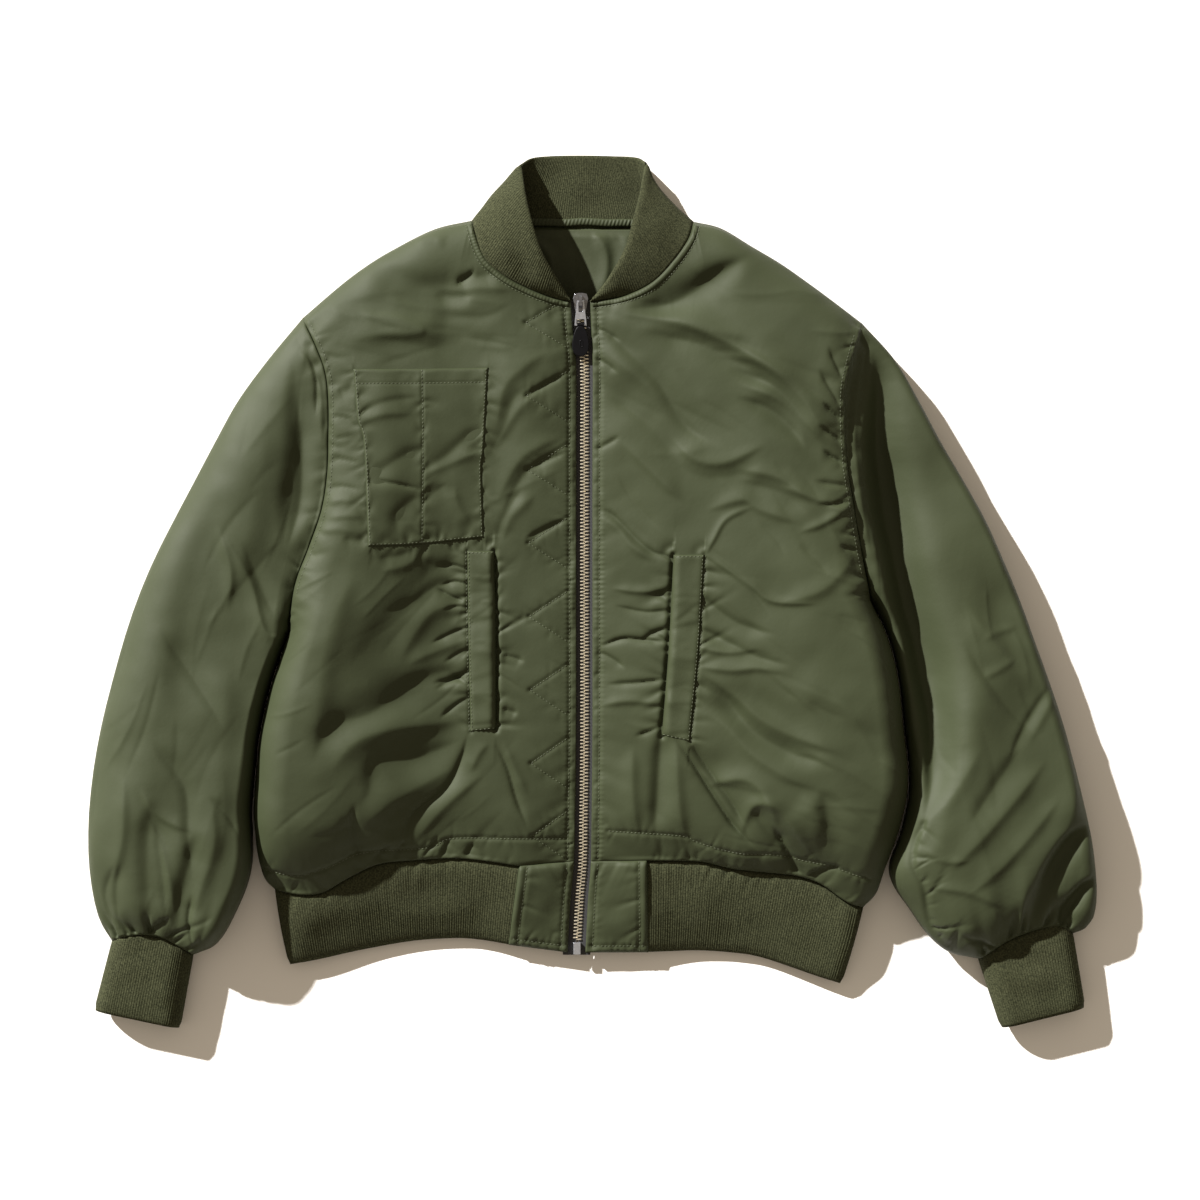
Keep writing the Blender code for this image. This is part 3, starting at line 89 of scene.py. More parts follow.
# Seams and folds of each side in plan, from the top down or from the outside in.
OUTLINE = {
    "right": {
        "neck": [(-105, 337), (-93.6, 303), (-76.5, 286), (-54, 274), (-32, 266), (-15.3, 262.5)],
        "shoulder": [(-257.5, 249), (-225, 277), (-202, 294.5), (-177, 310), (-139, 329), (-105, 337)],
        "armhole": [(-257.5, 249), (-245, 225), (-235, 199), (-232, 172), (-232, 140), (-233, 108),
                    (-238, 75), (-250, 40), (-262, 8), (-269, -34)],
        "side": [(-269, -34), (-278, -60), (-287, -88), (-295, -124), (-299, -160),
                 (-301.5, -190), (-300.5, -214), (-297.5, -238), (-291.5, -257), (-282.5, -266.5)],
        "hem": [(-282.5, -266.5), (-258, -271), (-238, -268.5), (-215, -255.5), (-189, -243.5),
                (-159, -240), (-121, -238), (-92, -240.5), (-62.5, -245)],
        "hem_tab": [(-62.5, -245), (-40, -243), (-12.6, -241)],
        "outer": [(-257.5, 249), (-289, 211), (-316, 174), (-336, 138), (-355, 102), (-374, 66),
                  (-392, 30), (-407, -6), (-419, -42), (-429, -78), (-438, -114), (-445, -150),
                  (-449.5, -186), (-451, -215), (-450.5, -245), (-447, -275), (-441, -297), (-431, -314)],
        "inner_end": [(-303, -190), (-302.5, -214), (-302.5, -240), (-307, -262), (-317, -286),
                      (-329, -308), (-341, -320), (-357, -325)],
        "cuff_seam": [(-431, -314), (-418, -309), (-400, -307), (-380, -311), (-357, -325)],
        "cuff_end": [(-447, -376), (-369, -392.5)],
    },
    "left": {
        "neck": [(95.4, 336), (90, 318), (76.5, 298), (57.6, 279), (32.4, 267.5), (1.9, 262.5)],
        "shoulder": [(247.5, 244), (222, 263.5), (199, 280.5), (174, 298), (148, 313.5), (120, 330),
                     (95.4, 336)],
        "armhole": [(247.5, 244), (237, 212), (230.5, 184), (230, 152), (232.5, 112), (237.5, 80),
                    (242, 52), (247.5, 24), (254.5, -6)],
        "side": [(254.5, -6), (267, -31), (275.5, -57), (281, -86), (284.5, -122),
                 (288, -150), (288, -178), (284, -200), (278, -221), (268, -248), (260, -270),
                 (248.4, -282.5)],
        "hem": [(248.4, -282.5), (236, -279), (226, -273), (209, -261), (188, -254), (158, -250.5),
                (130, -247.5), (100, -241), (54, -240)],
        "hem_tab": [(54, -240), (30, -240.5), (2.6, -241)],
        "outer": [(247.5, 244), (277, 211), (298, 175), (317, 139), (338, 103), (358, 67), (374, 31),
                  (389, -5), (402, -41), (415, -77), (427, -113), (437, -149), (446, -185),
                  (453, -215), (457.5, -245), (459.5, -273), (457, -292), (449, -303), (439, -307)],
        "inner_end": [(289.5, -178), (286, -200), (280, -221), (271.5, -244), (275, -262), (289, -283),
                      (307, -308), (327, -324), (353, -330)],
        "cuff_seam": [(439, -307), (424, -299), (402, -303), (377, -313), (353, -330)],
        "cuff_end": [(450, -373.5), (373.5, -392.4)],
    },
}
# Neck and hem seams of the back, from right to left.
BACK_NECK = [(-105, 337), (-60, 335), (-5, 334), (50, 335), (95.4, 336)]
BACK_HEM = [(-282.5, -266.5), (-256, -271), (-215, -262), (-150, -250), (-70, -245), (10, -245),
            (90, -247), (160, -256), (215, -273), (248.4, -282.5)]

# Zip: y, centre x, half of the gap between the two fronts, height of their edges.
ZIP = [(275, -7.0, 8.6, 33.0), (245, -5.8, 8.4, 33.5), (205, -3.2, 7.4, 35.5), (120, -3.2, 7.2, 37.5),
       (0, -3.2, 7.2, 38.0), (-120, -3.2, 7.2, 36.0), (-203, -4.2, 7.4, 29.5), (-241, -5.0, 7.6, 23.5),
       (-275, -7.8, 7.8, 18.0), (-305, -9.5, 8.0, 14.5), (-330, -10.6, 8.0, 12.5)]
ZIP_TOP = 262.5
ZIP_HEM = -241.0
TAB_END = -324.5
TAPE_DROP = 3.3          # from the fronts' edges down to the face of the tapes
TEETH_TOP = 253.0
TEETH_END = -315.0
TEETH_LIFT = 0.1         # from the tapes' face to the middle of the teeth

# Height of the fronts: y, the swell near the side, the flatter middle beside the zip.
FRONT_SECTIONS = {
    "right": [(260, 46, 42), (180, 54, 46), (80, 61, 44), (0, 66, 42), (-100, 68, 42), (-200, 62, 38),
              (-270, 40, 30)],
    "left": [(260, 46, 42), (180, 54, 46), (80, 58, 46), (0, 62, 46), (-100, 64, 46), (-200, 60, 40),
             (-270, 42, 30)],
}
# Height of the sleeves: share of the way from armhole to cuff, crown.
SLEEVE_SECTIONS = {
    "right": [(0.0, 50), (0.25, 54), (0.6, 55), (0.85, 52), (1.0, 40)],
    "left": [(0.0, 48), (0.25, 52), (0.6, 55), (0.85, 54), (1.0, 40)],
}

# Largest folds: height, half width, sharp (1) or round (0), points. A trough has a negative height.
FRONT_FOLDS = {
    "right": [
        (-2, 17, 0, [(-112, 36), (-150, 8), (-214, -72)]),
        (-2.5, 18, 0, [(-110, -64), (-166, -88), (-227, -119), (-242, -156)]),
        (2, 16, 0, [(-112, -112), (-180, -121), (-230, -160)]),
        (-4, 16, 0, [(-200, 296), (-150, 276), (-96, 272)]),
        (4, 15, 0, [(-222, 222), (-170, 236), (-110, 232)]),
        (5, 20, 0, [(-206, 24), (-232, -40), (-246, -150)]),
    ],
    "left": [
        (-4, 16, 0, [(30, 252), (88, 272), (142, 302)]),
        (3, 16, 0, [(34, 236), (110, 240), (222, 160)]),
        (-3, 18, 0, [(24, 214), (66, 176), (120, 134)]),
        (-3, 16, 0, [(142, 178), (190, 140), (230, 84)]),
        (-4, 18, 0, [(108, -78), (160, -104), (212, -150)]),
        (-4, 15, 0, [(88, -132), (124, -188), (152, -226)]),
        (3, 14, 0, [(190, -176), (206, -206), (214, -240)]),
    ],
}
SLEEVE_FOLDS = {
    "right": [
        (-6, 14, 0, [(-262, 214), (-258, 130), (-272, 40)]),
        (3, 24, 0, [(-286, 196), (-296, 100), (-318, -10)]),
        (-3, 26, 0, [(-320, 100), (-352, 0), (-366, -120)]),
        (3, 22, 0, [(-322, -60), (-330, -160), (-344, -270)]),
        (-5, 14, 0, [(-386, -180), (-392, -240), (-388, -300)]),
        (-5, 12, 0, [(-346, -210), (-358, -256), (-372, -304)]),
    ],
    "left": [
        (-28, 17, 0, [(252, 236), (262, 200), (261, 140), (266, 90), (275, 40), (285, -10), (295, -45),
                      (302, -80), (308, -120), (309, -165), (302, -205), (290, -232)]),
        (-7, 26, 0, [(278, 190), (286, 100), (300, 0), (314, -80), (318, -160)]),
        (-3, 22, 0, [(352, 30), (384, -60), (410, -140)]),
        (6, 15, 0, [(440, -150), (427, -212), (406, -241), (392, -279), (374, -308)]),
        (-8, 8, 0, [(458, -200), (430, -223), (412, -250), (400, -277), (390, -305)]),
        (-7, 6, 0, [(458, -250), (439, -270), (427, -288), (416, -304)]),
    ],
}

# Smaller folds and creases that only the looks have, in the same columns.
FRONT_CREASES = {
    "right": [
        (-2.5, 8, 0, [(-108, 22), (-140, 4), (-155, -7), (-184, -18)]),
        (2.5, 10, 0, [(-108, -6), (-138, -15), (-155, -35), (-168, -60)]),
        (2.5, 7, 0, [(-106, -40), (-144, -54), (-162, -64)]),
        (-3.5, 11, 0, [(-106, -65), (-144, -74), (-166, -88), (-194, -107), (-227, -119), (-244, -150)]),
        (3.5, 11, 0, [(-106, -112), (-144, -116), (-180, -121), (-208, -133), (-230, -160)]),
        (-3, 10, 0, [(-110, -130), (-152, -146), (-188, -150), (-194, -176), (-206, -192)]),
        (3.5, 12, 0, [(-118, -154), (-152, -172), (-180, -188), (-206, -212)]),
        (-4.5, 6, 1, [(-107, -123), (-113, -146), (-127, -174), (-157, -199), (-168, -224)]),
        (2.5, 7, 0, [(-92, -160), (-110, -174), (-132, -194), (-160, -226)]),
        (-2.5, 3, 1, [(-108, -70), (-122, -76), (-140, -80)]),
        (-2.5, 3, 1, [(-108, -8), (-122, -2), (-136, 6)]),
        (-2.5, 3, 1, [(-176, -240), (-170, -228), (-162, -219)]),
        (-2.5, 3, 1, [(-150, -238), (-140, -226), (-134, -216)]),
        (2.0, 4, 0, [(-186, -238), (-178, -226), (-170, -216)]),
        (2.5, 5, 0, [(-76, -130), (-67, -154), (-53, -183)]),
        (2.5, 7, 0, [(-185, 20), (-162, 26), (-148, 39)]),
        (-2.5, 6, 0, [(-187, 31), (-167, 34), (-155, 40)]),
        (-3, 4, 1, [(-193, -241), (-184, -230), (-176, -223)]),
        (-3, 4, 1, [(-132, -238), (-128, -227), (-123, -220)]),
        (-3, 4, 1, [(-111, -238), (-103, -223)]),
        (2, 5, 0, [(-158, 315), (-139, 319), (-127, 310)]),
        (3, 6, 0, [(-140, 279), (-125, 272), (-95, 274), (-65, 272)]),
        (-5, 8, 0, [(-122, 281), (-101, 283), (-80, 289)]),
        (-2, 5, 0, [(-140, 268), (-101, 266)]),
        (2.5, 6, 0, [(-191, 264), (-163, 259), (-122, 254), (-92, 253), (-65, 264)]),
        (2.5, 5, 0, [(-208, 248), (-176, 247), (-148, 236), (-163, 232), (-199, 231)]),
        (2.2, 4, 0, [(-210, 253), (-180, 243), (-148, 235)]),
        (-3, 9, 0, [(-178, 272), (-148, 257), (-112, 251), (-68, 258)]),
        (-3, 3, 1, [(-120, 277), (-110, 283), (-100, 291)]),
        (-3, 15, 0, [(-152, 238), (-108, 232), (-70, 206)]),
        (-3, 6, 0, [(-20, 133), (-42, 119), (-59, 104), (-76, 70)]),
        (2.6, 7, 0, [(-20, 142), (-44, 132), (-64, 116), (-82, 82)]),
        (-2.5, 3, 1, [(-18, 128), (-34, 121), (-52, 112)]),
        (-2.5, 3, 1, [(-18, 68), (-36, 60), (-58, 48)]),
        (4, 9, 0, [(-36, 218), (-61, 200), (-76, 182), (-82, 148)]),
        (-5, 9, 0, [(-52, 188), (-66, 173), (-75, 148), (-88, 122)]),
        (3, 7, 0, [(-43, 179), (-61, 166), (-77, 142), (-85, 128)]),
        (-3, 4, 1, [(-18, 198), (-39, 187), (-59, 176)]),
        (4, 7, 0, [(-77, 47), (-70, 67), (-58, 80), (-46, 90)]),
        (-5, 6, 0, [(-82, 41), (-78, 61), (-68, 80), (-58, 96)]),
        (2, 4, 0, [(-79, -15), (-56, -22)]),
        (-3, 4, 1, [(-79, -54), (-66, -57), (-56, -61)]),
        (-2.5, 4, 1, [(-78, -102), (-62, -107)]),
        (2.5, 5, 0, [(-88, -133), (-97, -142), (-106, -160)]),
        (2, 4, 0, [(-233, 80), (-219, 83), (-205, 82)]),
        (1.2, 5, 0, [(-243, 55), (-223, 57), (-202, 54)]),
        (-3, 5, 0, [(-219, 48), (-203, 48), (-194, 49)]),
        (2, 4, 0, [(-232, 67), (-214, 69), (-198, 68)]),
        (-1.2, 5, 0, [(-228, 130), (-214, 133), (-203, 142)]),
        (-2.5, 5, 0, [(-225, 179), (-214, 183), (-207, 187)]),
        (-1.5, 8, 0, [(-151, 31), (-133, 25), (-113, 34)]),
        (-3, 10, 0, [(-218, -196), (-212, -221), (-214, -245)]),
        (-2.5, 3, 1, [(-98, 18), (-113, 24), (-122, 26), (-138, 24)]),
        (-2.5, 3, 1, [(-98, 6), (-112, 10), (-121, 11), (-134, 7)]),
        (-2.0, 3, 1, [(-98, -14), (-110, -12), (-118, -11), (-131, -15)]),
        (-2.5, 3, 1, [(-98, -26), (-112, -31), (-122, -35), (-142, -45)]),
        (-2.0, 3, 1, [(-98, -46), (-110, -50), (-116, -53), (-130, -62)]),
        (-2.5, 3, 1, [(-98, -66), (-110, -71), (-119, -75), (-138, -86)]),
        (-2.5, 3, 1, [(-98, -88), (-110, -94), (-118, -99), (-134, -112)]),
        (-3.0, 4, 1, [(-84, -131), (-72, -156), (-64, -184), (-53, -212)]),
        (-3.0, 4, 1, [(-207, -184), (-210, -212), (-204, -244)]),
        (-1.4, 3, 1, [(-238, 158), (-220, 158), (-204, 155)]),
        (-1.4, 3, 1, [(-238, 141), (-222, 139), (-203, 143)]),
        (-1.4, 3, 1, [(-240, 121), (-222, 121), (-200, 116)]),
        (-1.4, 3, 1, [(-244, 92), (-222, 96), (-198, 92)]),
    ],
    "left": [
        (-4, 9, 0, [(34, 255), (69, 259), (94, 271), (120, 289), (150, 305)]),
        (4.5, 7, 0, [(24, 251), (65, 246), (94, 239), (127, 224), (163, 203), (185, 188), (210, 163)]),
        (-3, 9, 0, [(50, 234), (98, 224), (130, 209), (168, 184)]),
        (-4.5, 10, 0, [(2, 260), (33, 221), (61, 193), (78, 165), (94, 146), (124, 130)]),
        (-3, 8, 0, [(100, 234), (136, 224), (167, 204), (189, 187), (216, 172)]),
        (-3, 6, 0, [(130, 176), (161, 165), (181, 148), (194, 128)]),
        (4, 7, 0, [(108, 214), (145, 210), (170, 195), (192, 174), (206, 152), (222, 132), (234, 116)]),
        (-3, 6, 0, [(124, 202), (160, 188), (182, 168), (204, 138)]),
        (3, 6, 0, [(132, 188), (170, 174), (195, 152), (214, 130)]),
        (2.2, 6, 0, [(72, 144), (94, 121), (122, 117), (160, 134)]),
        (-1.8, 10, 0, [(64, 124), (96, 106), (124, 104), (158, 118)]),
        (2.5, 10, 0, [(8, 222), (50, 190), (86, 160), (116, 130)]),
        (-3, 12, 0, [(6, 196), (40, 165), (66, 140), (90, 106)]),
        (2.5, 7, 0, [(28, 138), (58, 109), (86, 82)]),
        (2.5, 6, 0, [(130, 112), (174, 102), (200, 80)]),
        (-2, 7, 0, [(132, 100), (172, 90), (196, 70)]),
        (2.2, 6, 0, [(104, 74), (138, 84), (154, 75), (192, 62)]),
        (-2.5, 3, 1, [(0, 242), (14, 236), (30, 226)]),
        (-2.5, 3, 1, [(0, 214), (14, 208), (28, 197)]),
        (-2.2, 3, 1, [(0, 128), (14, 133), (30, 142)]),
        (-3.5, 5, 1, [(4, 77), (20, 72), (43, 49), (59, 37), (80, 32)]),
        (2.5, 6, 0, [(8, 69), (27, 59), (41, 42), (62, 28)]),
        (1.8, 3, 0, [(103, 31), (112, 48), (124, 67), (150, 79)]),
        (-3, 4, 1, [(206, 202), (218, 180), (231, 158)]),
        (-3, 4, 1, [(214, 222), (225, 198), (233, 183)]),
        (-4, 3, 1, [(208, 172), (220, 161), (238, 148)]),
        (-4, 3, 1, [(204, 152), (218, 142), (240, 130)]),
        (-4, 3, 1, [(208, 130), (222, 120), (242, 115)]),
        (-3, 3, 1, [(200, 101), (220, 98), (244, 95)]),
        (-3.5, 3, 1, [(202, 80), (220, 80), (246, 86)]),
        (3, 4, 0, [(186, 54), (212, 64), (244, 86)]),
        (3, 5, 0, [(170, 96), (204, 84), (234, 70)]),
        (-2.5, 3, 1, [(222, 44), (236, 40), (252, 42)]),
        (2.5, 4, 0, [(98, 38), (127, 20), (148, 5), (166, -7), (208, -9)]),
        (-3, 6, 0, [(92, 6), (119, -17), (138, -28), (168, -37)]),
        (-3, 6, 0, [(92, -26), (126, -44), (150, -56), (182, -64)]),
        (2, 4, 0, [(92, -46), (122, -52), (154, -49)]),
        (2.4, 5, 0, [(94, -64), (128, -68), (152, -66), (176, -71)]),
        (-6, 10, 0, [(98, -70), (120, -89), (145, -121), (177, -140), (220, -153)]),
        (4.5, 9, 0, [(96, -68), (130, -90), (155, -112), (185, -127), (228, -142)]),
        (3, 8, 0, [(100, -104), (124, -118), (146, -142), (176, -162), (206, -176)]),
        (-5, 4, 1, [(74, -122), (84, -138), (98, -158), (116, -186), (134, -212), (158, -234)]),
        (-3, 3, 1, [(84, -118), (96, -140), (112, -164), (130, -190), (146, -218)]),
        (2.5, 4, 0, [(80, -124), (92, -144), (108, -168), (126, -194), (144, -220)]),
        (3.5, 7, 0, [(104, -172), (134, -165), (152, -172), (162, -188), (170, -212)]),
        (3.5, 6, 0, [(136, -222), (142, -198), (152, -187), (168, -190), (182, -206), (202, -236)]),
        (-5, 6, 0, [(146, -188), (156, -206), (168, -220), (180, -230)]),
        (-5, 4, 1, [(164, -206), (176, -228), (185, -246), (196, -262)]),
        (-4, 4, 1, [(194, -256), (211, -248), (228, -243)]),
        (-5, 9, 0, [(67, -112), (64, -150), (62, -186), (60, -222)]),
        (3, 8, 0, [(78, -128), (80, -170), (84, -206), (92, -226)]),
        (2.5, 8, 0, [(40, -134), (40, -176), (44, -220)]),
        (-4, 12, 0, [(208, -172), (214, -200), (210, -236)]),
        (2.5, 13, 0, [(172, -78), (218, -95), (262, -126)]),
        (2.5, 9, 0, [(170, -8), (209, 4), (240, 36)]),
        (-3.5, 3, 1, [(6, -49), (30, -40), (50, -41), (78, -43)]),
        (-2.5, 3, 1, [(6, -50), (22, -58), (34, -67)]),
        (-3, 3, 1, [(14, -81), (45, -79), (76, -75)]),
        (-2.5, 3, 1, [(46, -42), (62, -33), (78, -32)]),
        (-2.5, 3, 1, [(40, -128), (56, -122), (74, -114)]),
        (2, 4, 0, [(8, -101), (36, -96), (72, -99)]),
        (-2, 3, 1, [(22, -10), (52, -16), (78, -13)]),
        (2, 4, 0, [(20, 5), (50, 2), (78, 7)]),
    ],
}
SLEEVE_CREASES = {
    "right": [
        (3, 5, 0, [(-326, 58), (-315, 37), (-300, 9), (-289, -31), (-277, -39), (-262, -36)]),
        (-2, 7, 0, [(-308, 48), (-294, 14), (-282, -14), (-270, -25)]),
        (-2, 8, 0, [(-382, -30), (-359, -64), (-337, -97), (-322, -124)]),
        (-3, 8, 0, [(-388, -128), (-382, -140), (-359, -172), (-356, -218), (-352, -256)]),
        (2.5, 6, 0, [(-396, -196), (-390, -205), (-379, -231), (-372, -264), (-369, -296)]),
        (-3, 6, 0, [(-386, -200), (-379, -250), (-377, -292)]),
        (2.2, 7, 0, [(-414, -160), (-415, -218), (-428, -264)]),
        (-3, 5, 0, [(-422, -240), (-434, -270), (-427, -296)]),
        (1.6, 5, 0, [(-400, -172), (-382, -198), (-350, -213)]),
        (2.2, 8, 0, [(-334, -184), (-333, -225), (-346, -266), (-354, -296)]),
        (-2, 4, 0, [(-338, -180), (-320, -198), (-310, -218)]),
        (2, 6, 0, [(-330, 62), (-318, 20), (-322, -16)]),
        (3, 4, 0, [(-259, 220), (-245, 200), (-239, 175), (-238, 130)]),
        (-3, 4, 1, [(-252, 218), (-243, 193), (-243, 157)]),
        (-3.5, 7, 0, [(-259, 175), (-256, 130), (-257, 85), (-268, 38)]),
        (-4, 4, 1, [(-398, -308), (-385, -297), (-373, -288)]),
        (-3, 5, 0, [(-421, -293), (-423, -266), (-416, -239)]),
        (-3, 4, 1, [(-353, -320), (-358, -293), (-353, -266)]),
    ],
    "left": [
        (4, 5, 0, [(250, 236), (244, 200), (238, 150), (241, 103), (248, 58), (254, 30)]),
        (2.4, 11, 0, [(352, -134), (340, -156), (322, -184), (303, -206), (291, -236)]),
        (2.5, 9, 0, [(412, -146), (384, -180), (356, -212), (320, -250)]),
        (-2.5, 10, 0, [(390, -136), (364, -172), (340, -206)]),
        (2.2, 8, 0, [(424, -180), (396, -214), (366, -246), (336, -270)]),
        (-2.2, 5, 0, [(418, -78), (404, -98), (388, -126), (376, -152)]),
        (1.2, 6, 0, [(424, -78), (411, -104), (394, -134)]),
        (1, 4, 0, [(352, -42), (366, -35), (386, -29)]),
        (1, 4, 0, [(352, -76), (366, -69), (384, -58)]),
        (2.5, 5, 0, [(302, -262), (338, -266), (376, -282)]),
        (2.5, 4, 0, [(296, -222), (316, -238), (342, -238)]),
        (-3, 8, 0, [(335, -41), (371, -95), (407, -131)]),
        (2.5, 10, 0, [(335, -5), (371, -55), (416, -95)]),
    ],
}
SLEEVE_GATHER = [(300, -206), (292, -222), (290, -241), (300, -262), (304, -286), (310, -304), (330, -325)]
BACK_CREASES = [
    (5, 14, 0, [(-190, 190), (-90, 150), (20, 160), (150, 200)]),
    (4, 12, 0, [(-200, 40), (-110, 0), (-20, -60)]),
    (5, 15, 0, [(210, 60), (120, 10), (30, -80)]),
    (4, 11, 0, [(-230, -120), (-120, -150), (0, -140)]),
    (4, 12, 0, [(230, -140), (130, -180), (20, -190)]),
    (3, 9, 0, [(-60, 300), (-20, 250), (40, 230)]),
]
UNDER_SLEEVE_CREASES = {
    "right": [(4, 12, 0, [(-300, 120), (-340, 20), (-370, -60)]),
              (4, 10, 0, [(-350, -120), (-380, -190), (-395, -260)])],
    "left": [(4, 12, 0, [(290, 120), (330, 20), (370, -80)]),
             (4, 10, 0, [(350, -150), (385, -210), (400, -270)])],
}

# Collar and hem band: their free edges, as in the solids.
COLLAR_RIGHT = [(-17.5, 267, 35), (-24, 276, 40), (-33, 290, 45), (-42.5, 308, 48), (-51, 335, 47),
                (-57.5, 363, 38), (-61.5, 389, 19)]
COLLAR_BACK = [(-61.5, 389, 19), (-53, 396, 4), (-35, 398, 0), (-8, 398.5, 0), (22, 398, 0),
               (45, 396.5, 4), (54, 390, 18)]
COLLAR_LEFT = [(54, 390, 18), (48.5, 364, 37), (41, 335, 47), (33, 308, 47), (21, 286, 44),
               (12, 274, 39), (5, 267, 35)]
COLLAR_SWELL = 2.5
COLLAR_WAIST = {"right": 1.0, "left": 9.0, "reach": 34.0}
RIB_RIGHT = [(-72, -317.7, 12), (-96, -314, 9), (-120, -312.5, 8), (-159, -315, 8), (-203, -322.5, 9),
             (-245, -331.5, 11.5), (-263, -334.5, 12.5), (-271, -335.7, RIB_FOLD_Z)]
RIB_BACK = [(-271, -335.7, RIB_FOLD_Z), (-263, -334, 3), (-248, -330.5, 0), (-203, -321, 0),
            (-140, -312, 0), (-60, -312, 0), (0, -314, 0), (60, -317, 0), (110, -320, 0),
            (160, -327, 0), (207, -344, 0), (222, -350.2, 3), (229.5, -353, RIB_FOLD_Z)]
RIB_LEFT = [(229.5, -353, RIB_FOLD_Z), (222, -350.8, 13), (205, -345.5, 12.5), (158, -330, 9),
            (130, -325.5, 8), (100, -323.5, 8.5), (78, -324, 9.5), (54.5, -324.5, 12)]
RIB_SWELL = 2.0
RIB_DIP = {"depth": 3.0, "reach": 5.0}         # how the hem band falls at its seam
CUFF_SWELL = 1.2

# Pocket and welts: their four sides, each from top or left.
POCKET = {"top": [(-209, 200.5), (-150, 201), (-89, 202.5)], "bottom": [(-195, 42), (-152, 44), (-93, 50.5)],
          "left": [(-209, 200.5), (-205, 156), (-199, 131), (-195, 42)],
          "right": [(-89, 202.5), (-93, 131), (-95, 111), (-93, 50.5)]}
WELT = {
    "right": {"top": [(-108, 38.5), (-84, 38.5)], "bottom": [(-105, -123.5), (-82.5, -121.5)],
              "left": [(-108, 38.5), (-107, -40), (-105, -123.5)],
              "right": [(-84, 38.5), (-82.5, -40), (-82.5, -121.5)]},
    "left": {"top": [(76.5, 35), (104, 35)], "bottom": [(66, -127), (91, -132)],
             "left": [(76.5, 35), (72, -50), (66, -127)],
             "right": [(104, 35), (99, -50), (91, -132)]},
}
WELT_LIFT = {"right": 2.4, "left": 1.8}        # how far the edge towards the zip stands off
POCKET_DIVIDER = [(-148, 201), (-147, 120), (-148, 44)]
POCKET_CREASES = [
    (-2.5, 5, 0, [(-209, 152), (-192, 166), (-176, 172), (-146, 176)]),
    (2.0, 5, 0, [(-206, 152), (-180, 160), (-155, 161)]),
    (-2.6, 8, 0, [(-144, 133), (-160, 125), (-178, 114), (-200, 97)]),
    (-2.5, 3, 1, [(-202, 101), (-176, 99), (-146, 93)]),
    (-3.0, 8, 0, [(-144, 90), (-160, 80), (-170, 68), (-168, 52)]),
    (-2.8, 8, 0, [(-88, 154), (-108, 140), (-128, 122), (-150, 108)]),
    (-2.2, 5, 0, [(-149, 78), (-138, 90), (-124, 99)]),
    (2.2, 6, 0, [(-148, 106), (-120, 118), (-92, 130)]),
    (2.0, 7, 0, [(-104, 60), (-116, 78), (-120, 98)]),
]
POCKET_HEM = [(x, y - 13.0) for x, y in POCKET["top"]]
POCKET_STITCH = {"left": 1.8, "bottom": 1.8, "right": -1.8}    # shift from its sewn sides inwards
WELT_STITCH = {"inside": 1.5, "beside": 1.2, "ends": 1.6}      # from a welt's edges to its stitch lines
PATCH_LIFT = {"pocket": 1.5, "welt": 1.8}      # height of a patch above the panel under it
PATCH_ROLL = 3.2         # width in which a patch rounds down to its edges
THICK = {"panel": CLOTH - 0.5, "pocket": 1.2, "welt": 1.3, "binding": 0.7, "lining": 1.0, "neck_tape": 0.9}

# Inside of the neck.
LINING_Z = 4.6
LINING_EDGE = [(-78, 331), (68, 331), (68, 232), (-78, 232)]
LINING_SEAM = [(-80.0, 333.0), (70.0, 333.0)]
LINING_CREASES = [(3.0, 7, 0, [(-60, 330), (-34, 306), (-32, 272), (-20, 240)]),
                  (2.6, 6, 0, [(2, 334), (16, 312), (16, 286), (4, 262)]),
                  (-2.0, 6, 0, [(-26, 332), (-8, 304), (-8, 272)]),
                  (2.2, 6, 0, [(36, 332), (34, 306), (26, 276)])]
NECK_TAPE = {"ends": (-64.0, 56.0), "top": 341.0, "width": 7.0, "base": 4.4, "height": 1.1, "gather": 0.22,
             "pitch": 3.4}

# Stitch lines on the fronts.
HEM_STITCH = {
    "right": [(-294, -247), (-265, -253), (-251, -251), (-230, -244), (-208, -234), (-189, -231),
              (-142, -228), (-123, -220), (-70, -220), (-20, -220.5)],
    "left": [(18, -213), (83, -217), (96, -222), (118, -229), (140, -233), (168, -234), (192, -239),
             (217, -244), (237, -251), (252, -256)],
}
ZIGZAG = {"apex_x": -56.0, "end_x": -18.5, "first_y": 243.0, "pitch": 65.8, "half": 22.5, "count": 8,
          "drift": 0.8}
PLACKET = 6.2            # from a front's edge at the zip to its stitch line
TAB_FOOT = 6.0           # from a hem tab's lower edge to its stitch line
TAB_STRIP = 8.0          # from the knitted band's end to a hem tab's stitch line
ARMHOLE_STITCH = 4.5     # from the armhole seam to the front's stitch line
BINDING = 5.4            # width of the nylon binding on the neck seam
BINDING_STITCH = 1.0     # from the binding to its stitch line on the front

ZIP_PUCKER = {"pitch": 4.4, "height": 0.20, "reach": 5.0}
STITCH = {"pitch": 3.3, "length": 2.4, "width": 0.62, "height": 0.42}
RIB_PITCH = 2.3
CUFF_RIBS = 40
RIB_DEPTH = 0.2
RIB_ROLL = 1.2           # how far the knit rounds in at its free edge
SLOT_MARK = {"length": 6.0, "half": 1.1, "wire": 0.4, "aside": 0.6, "down": -4.0}
TEETH = {"pitch": 3.1, "reach": 3.9, "cross": 0.75, "length": 1.25, "height": 2.3}

STEEPEST = {"right": 0.27, "left": 0.52, "sleeve": 0.34, "pocket": 0.30}   # soft fold: height to half width
SEED = 11
LEAN = (0.715, -0.70)    # folds lie over towards the wearer's lower left

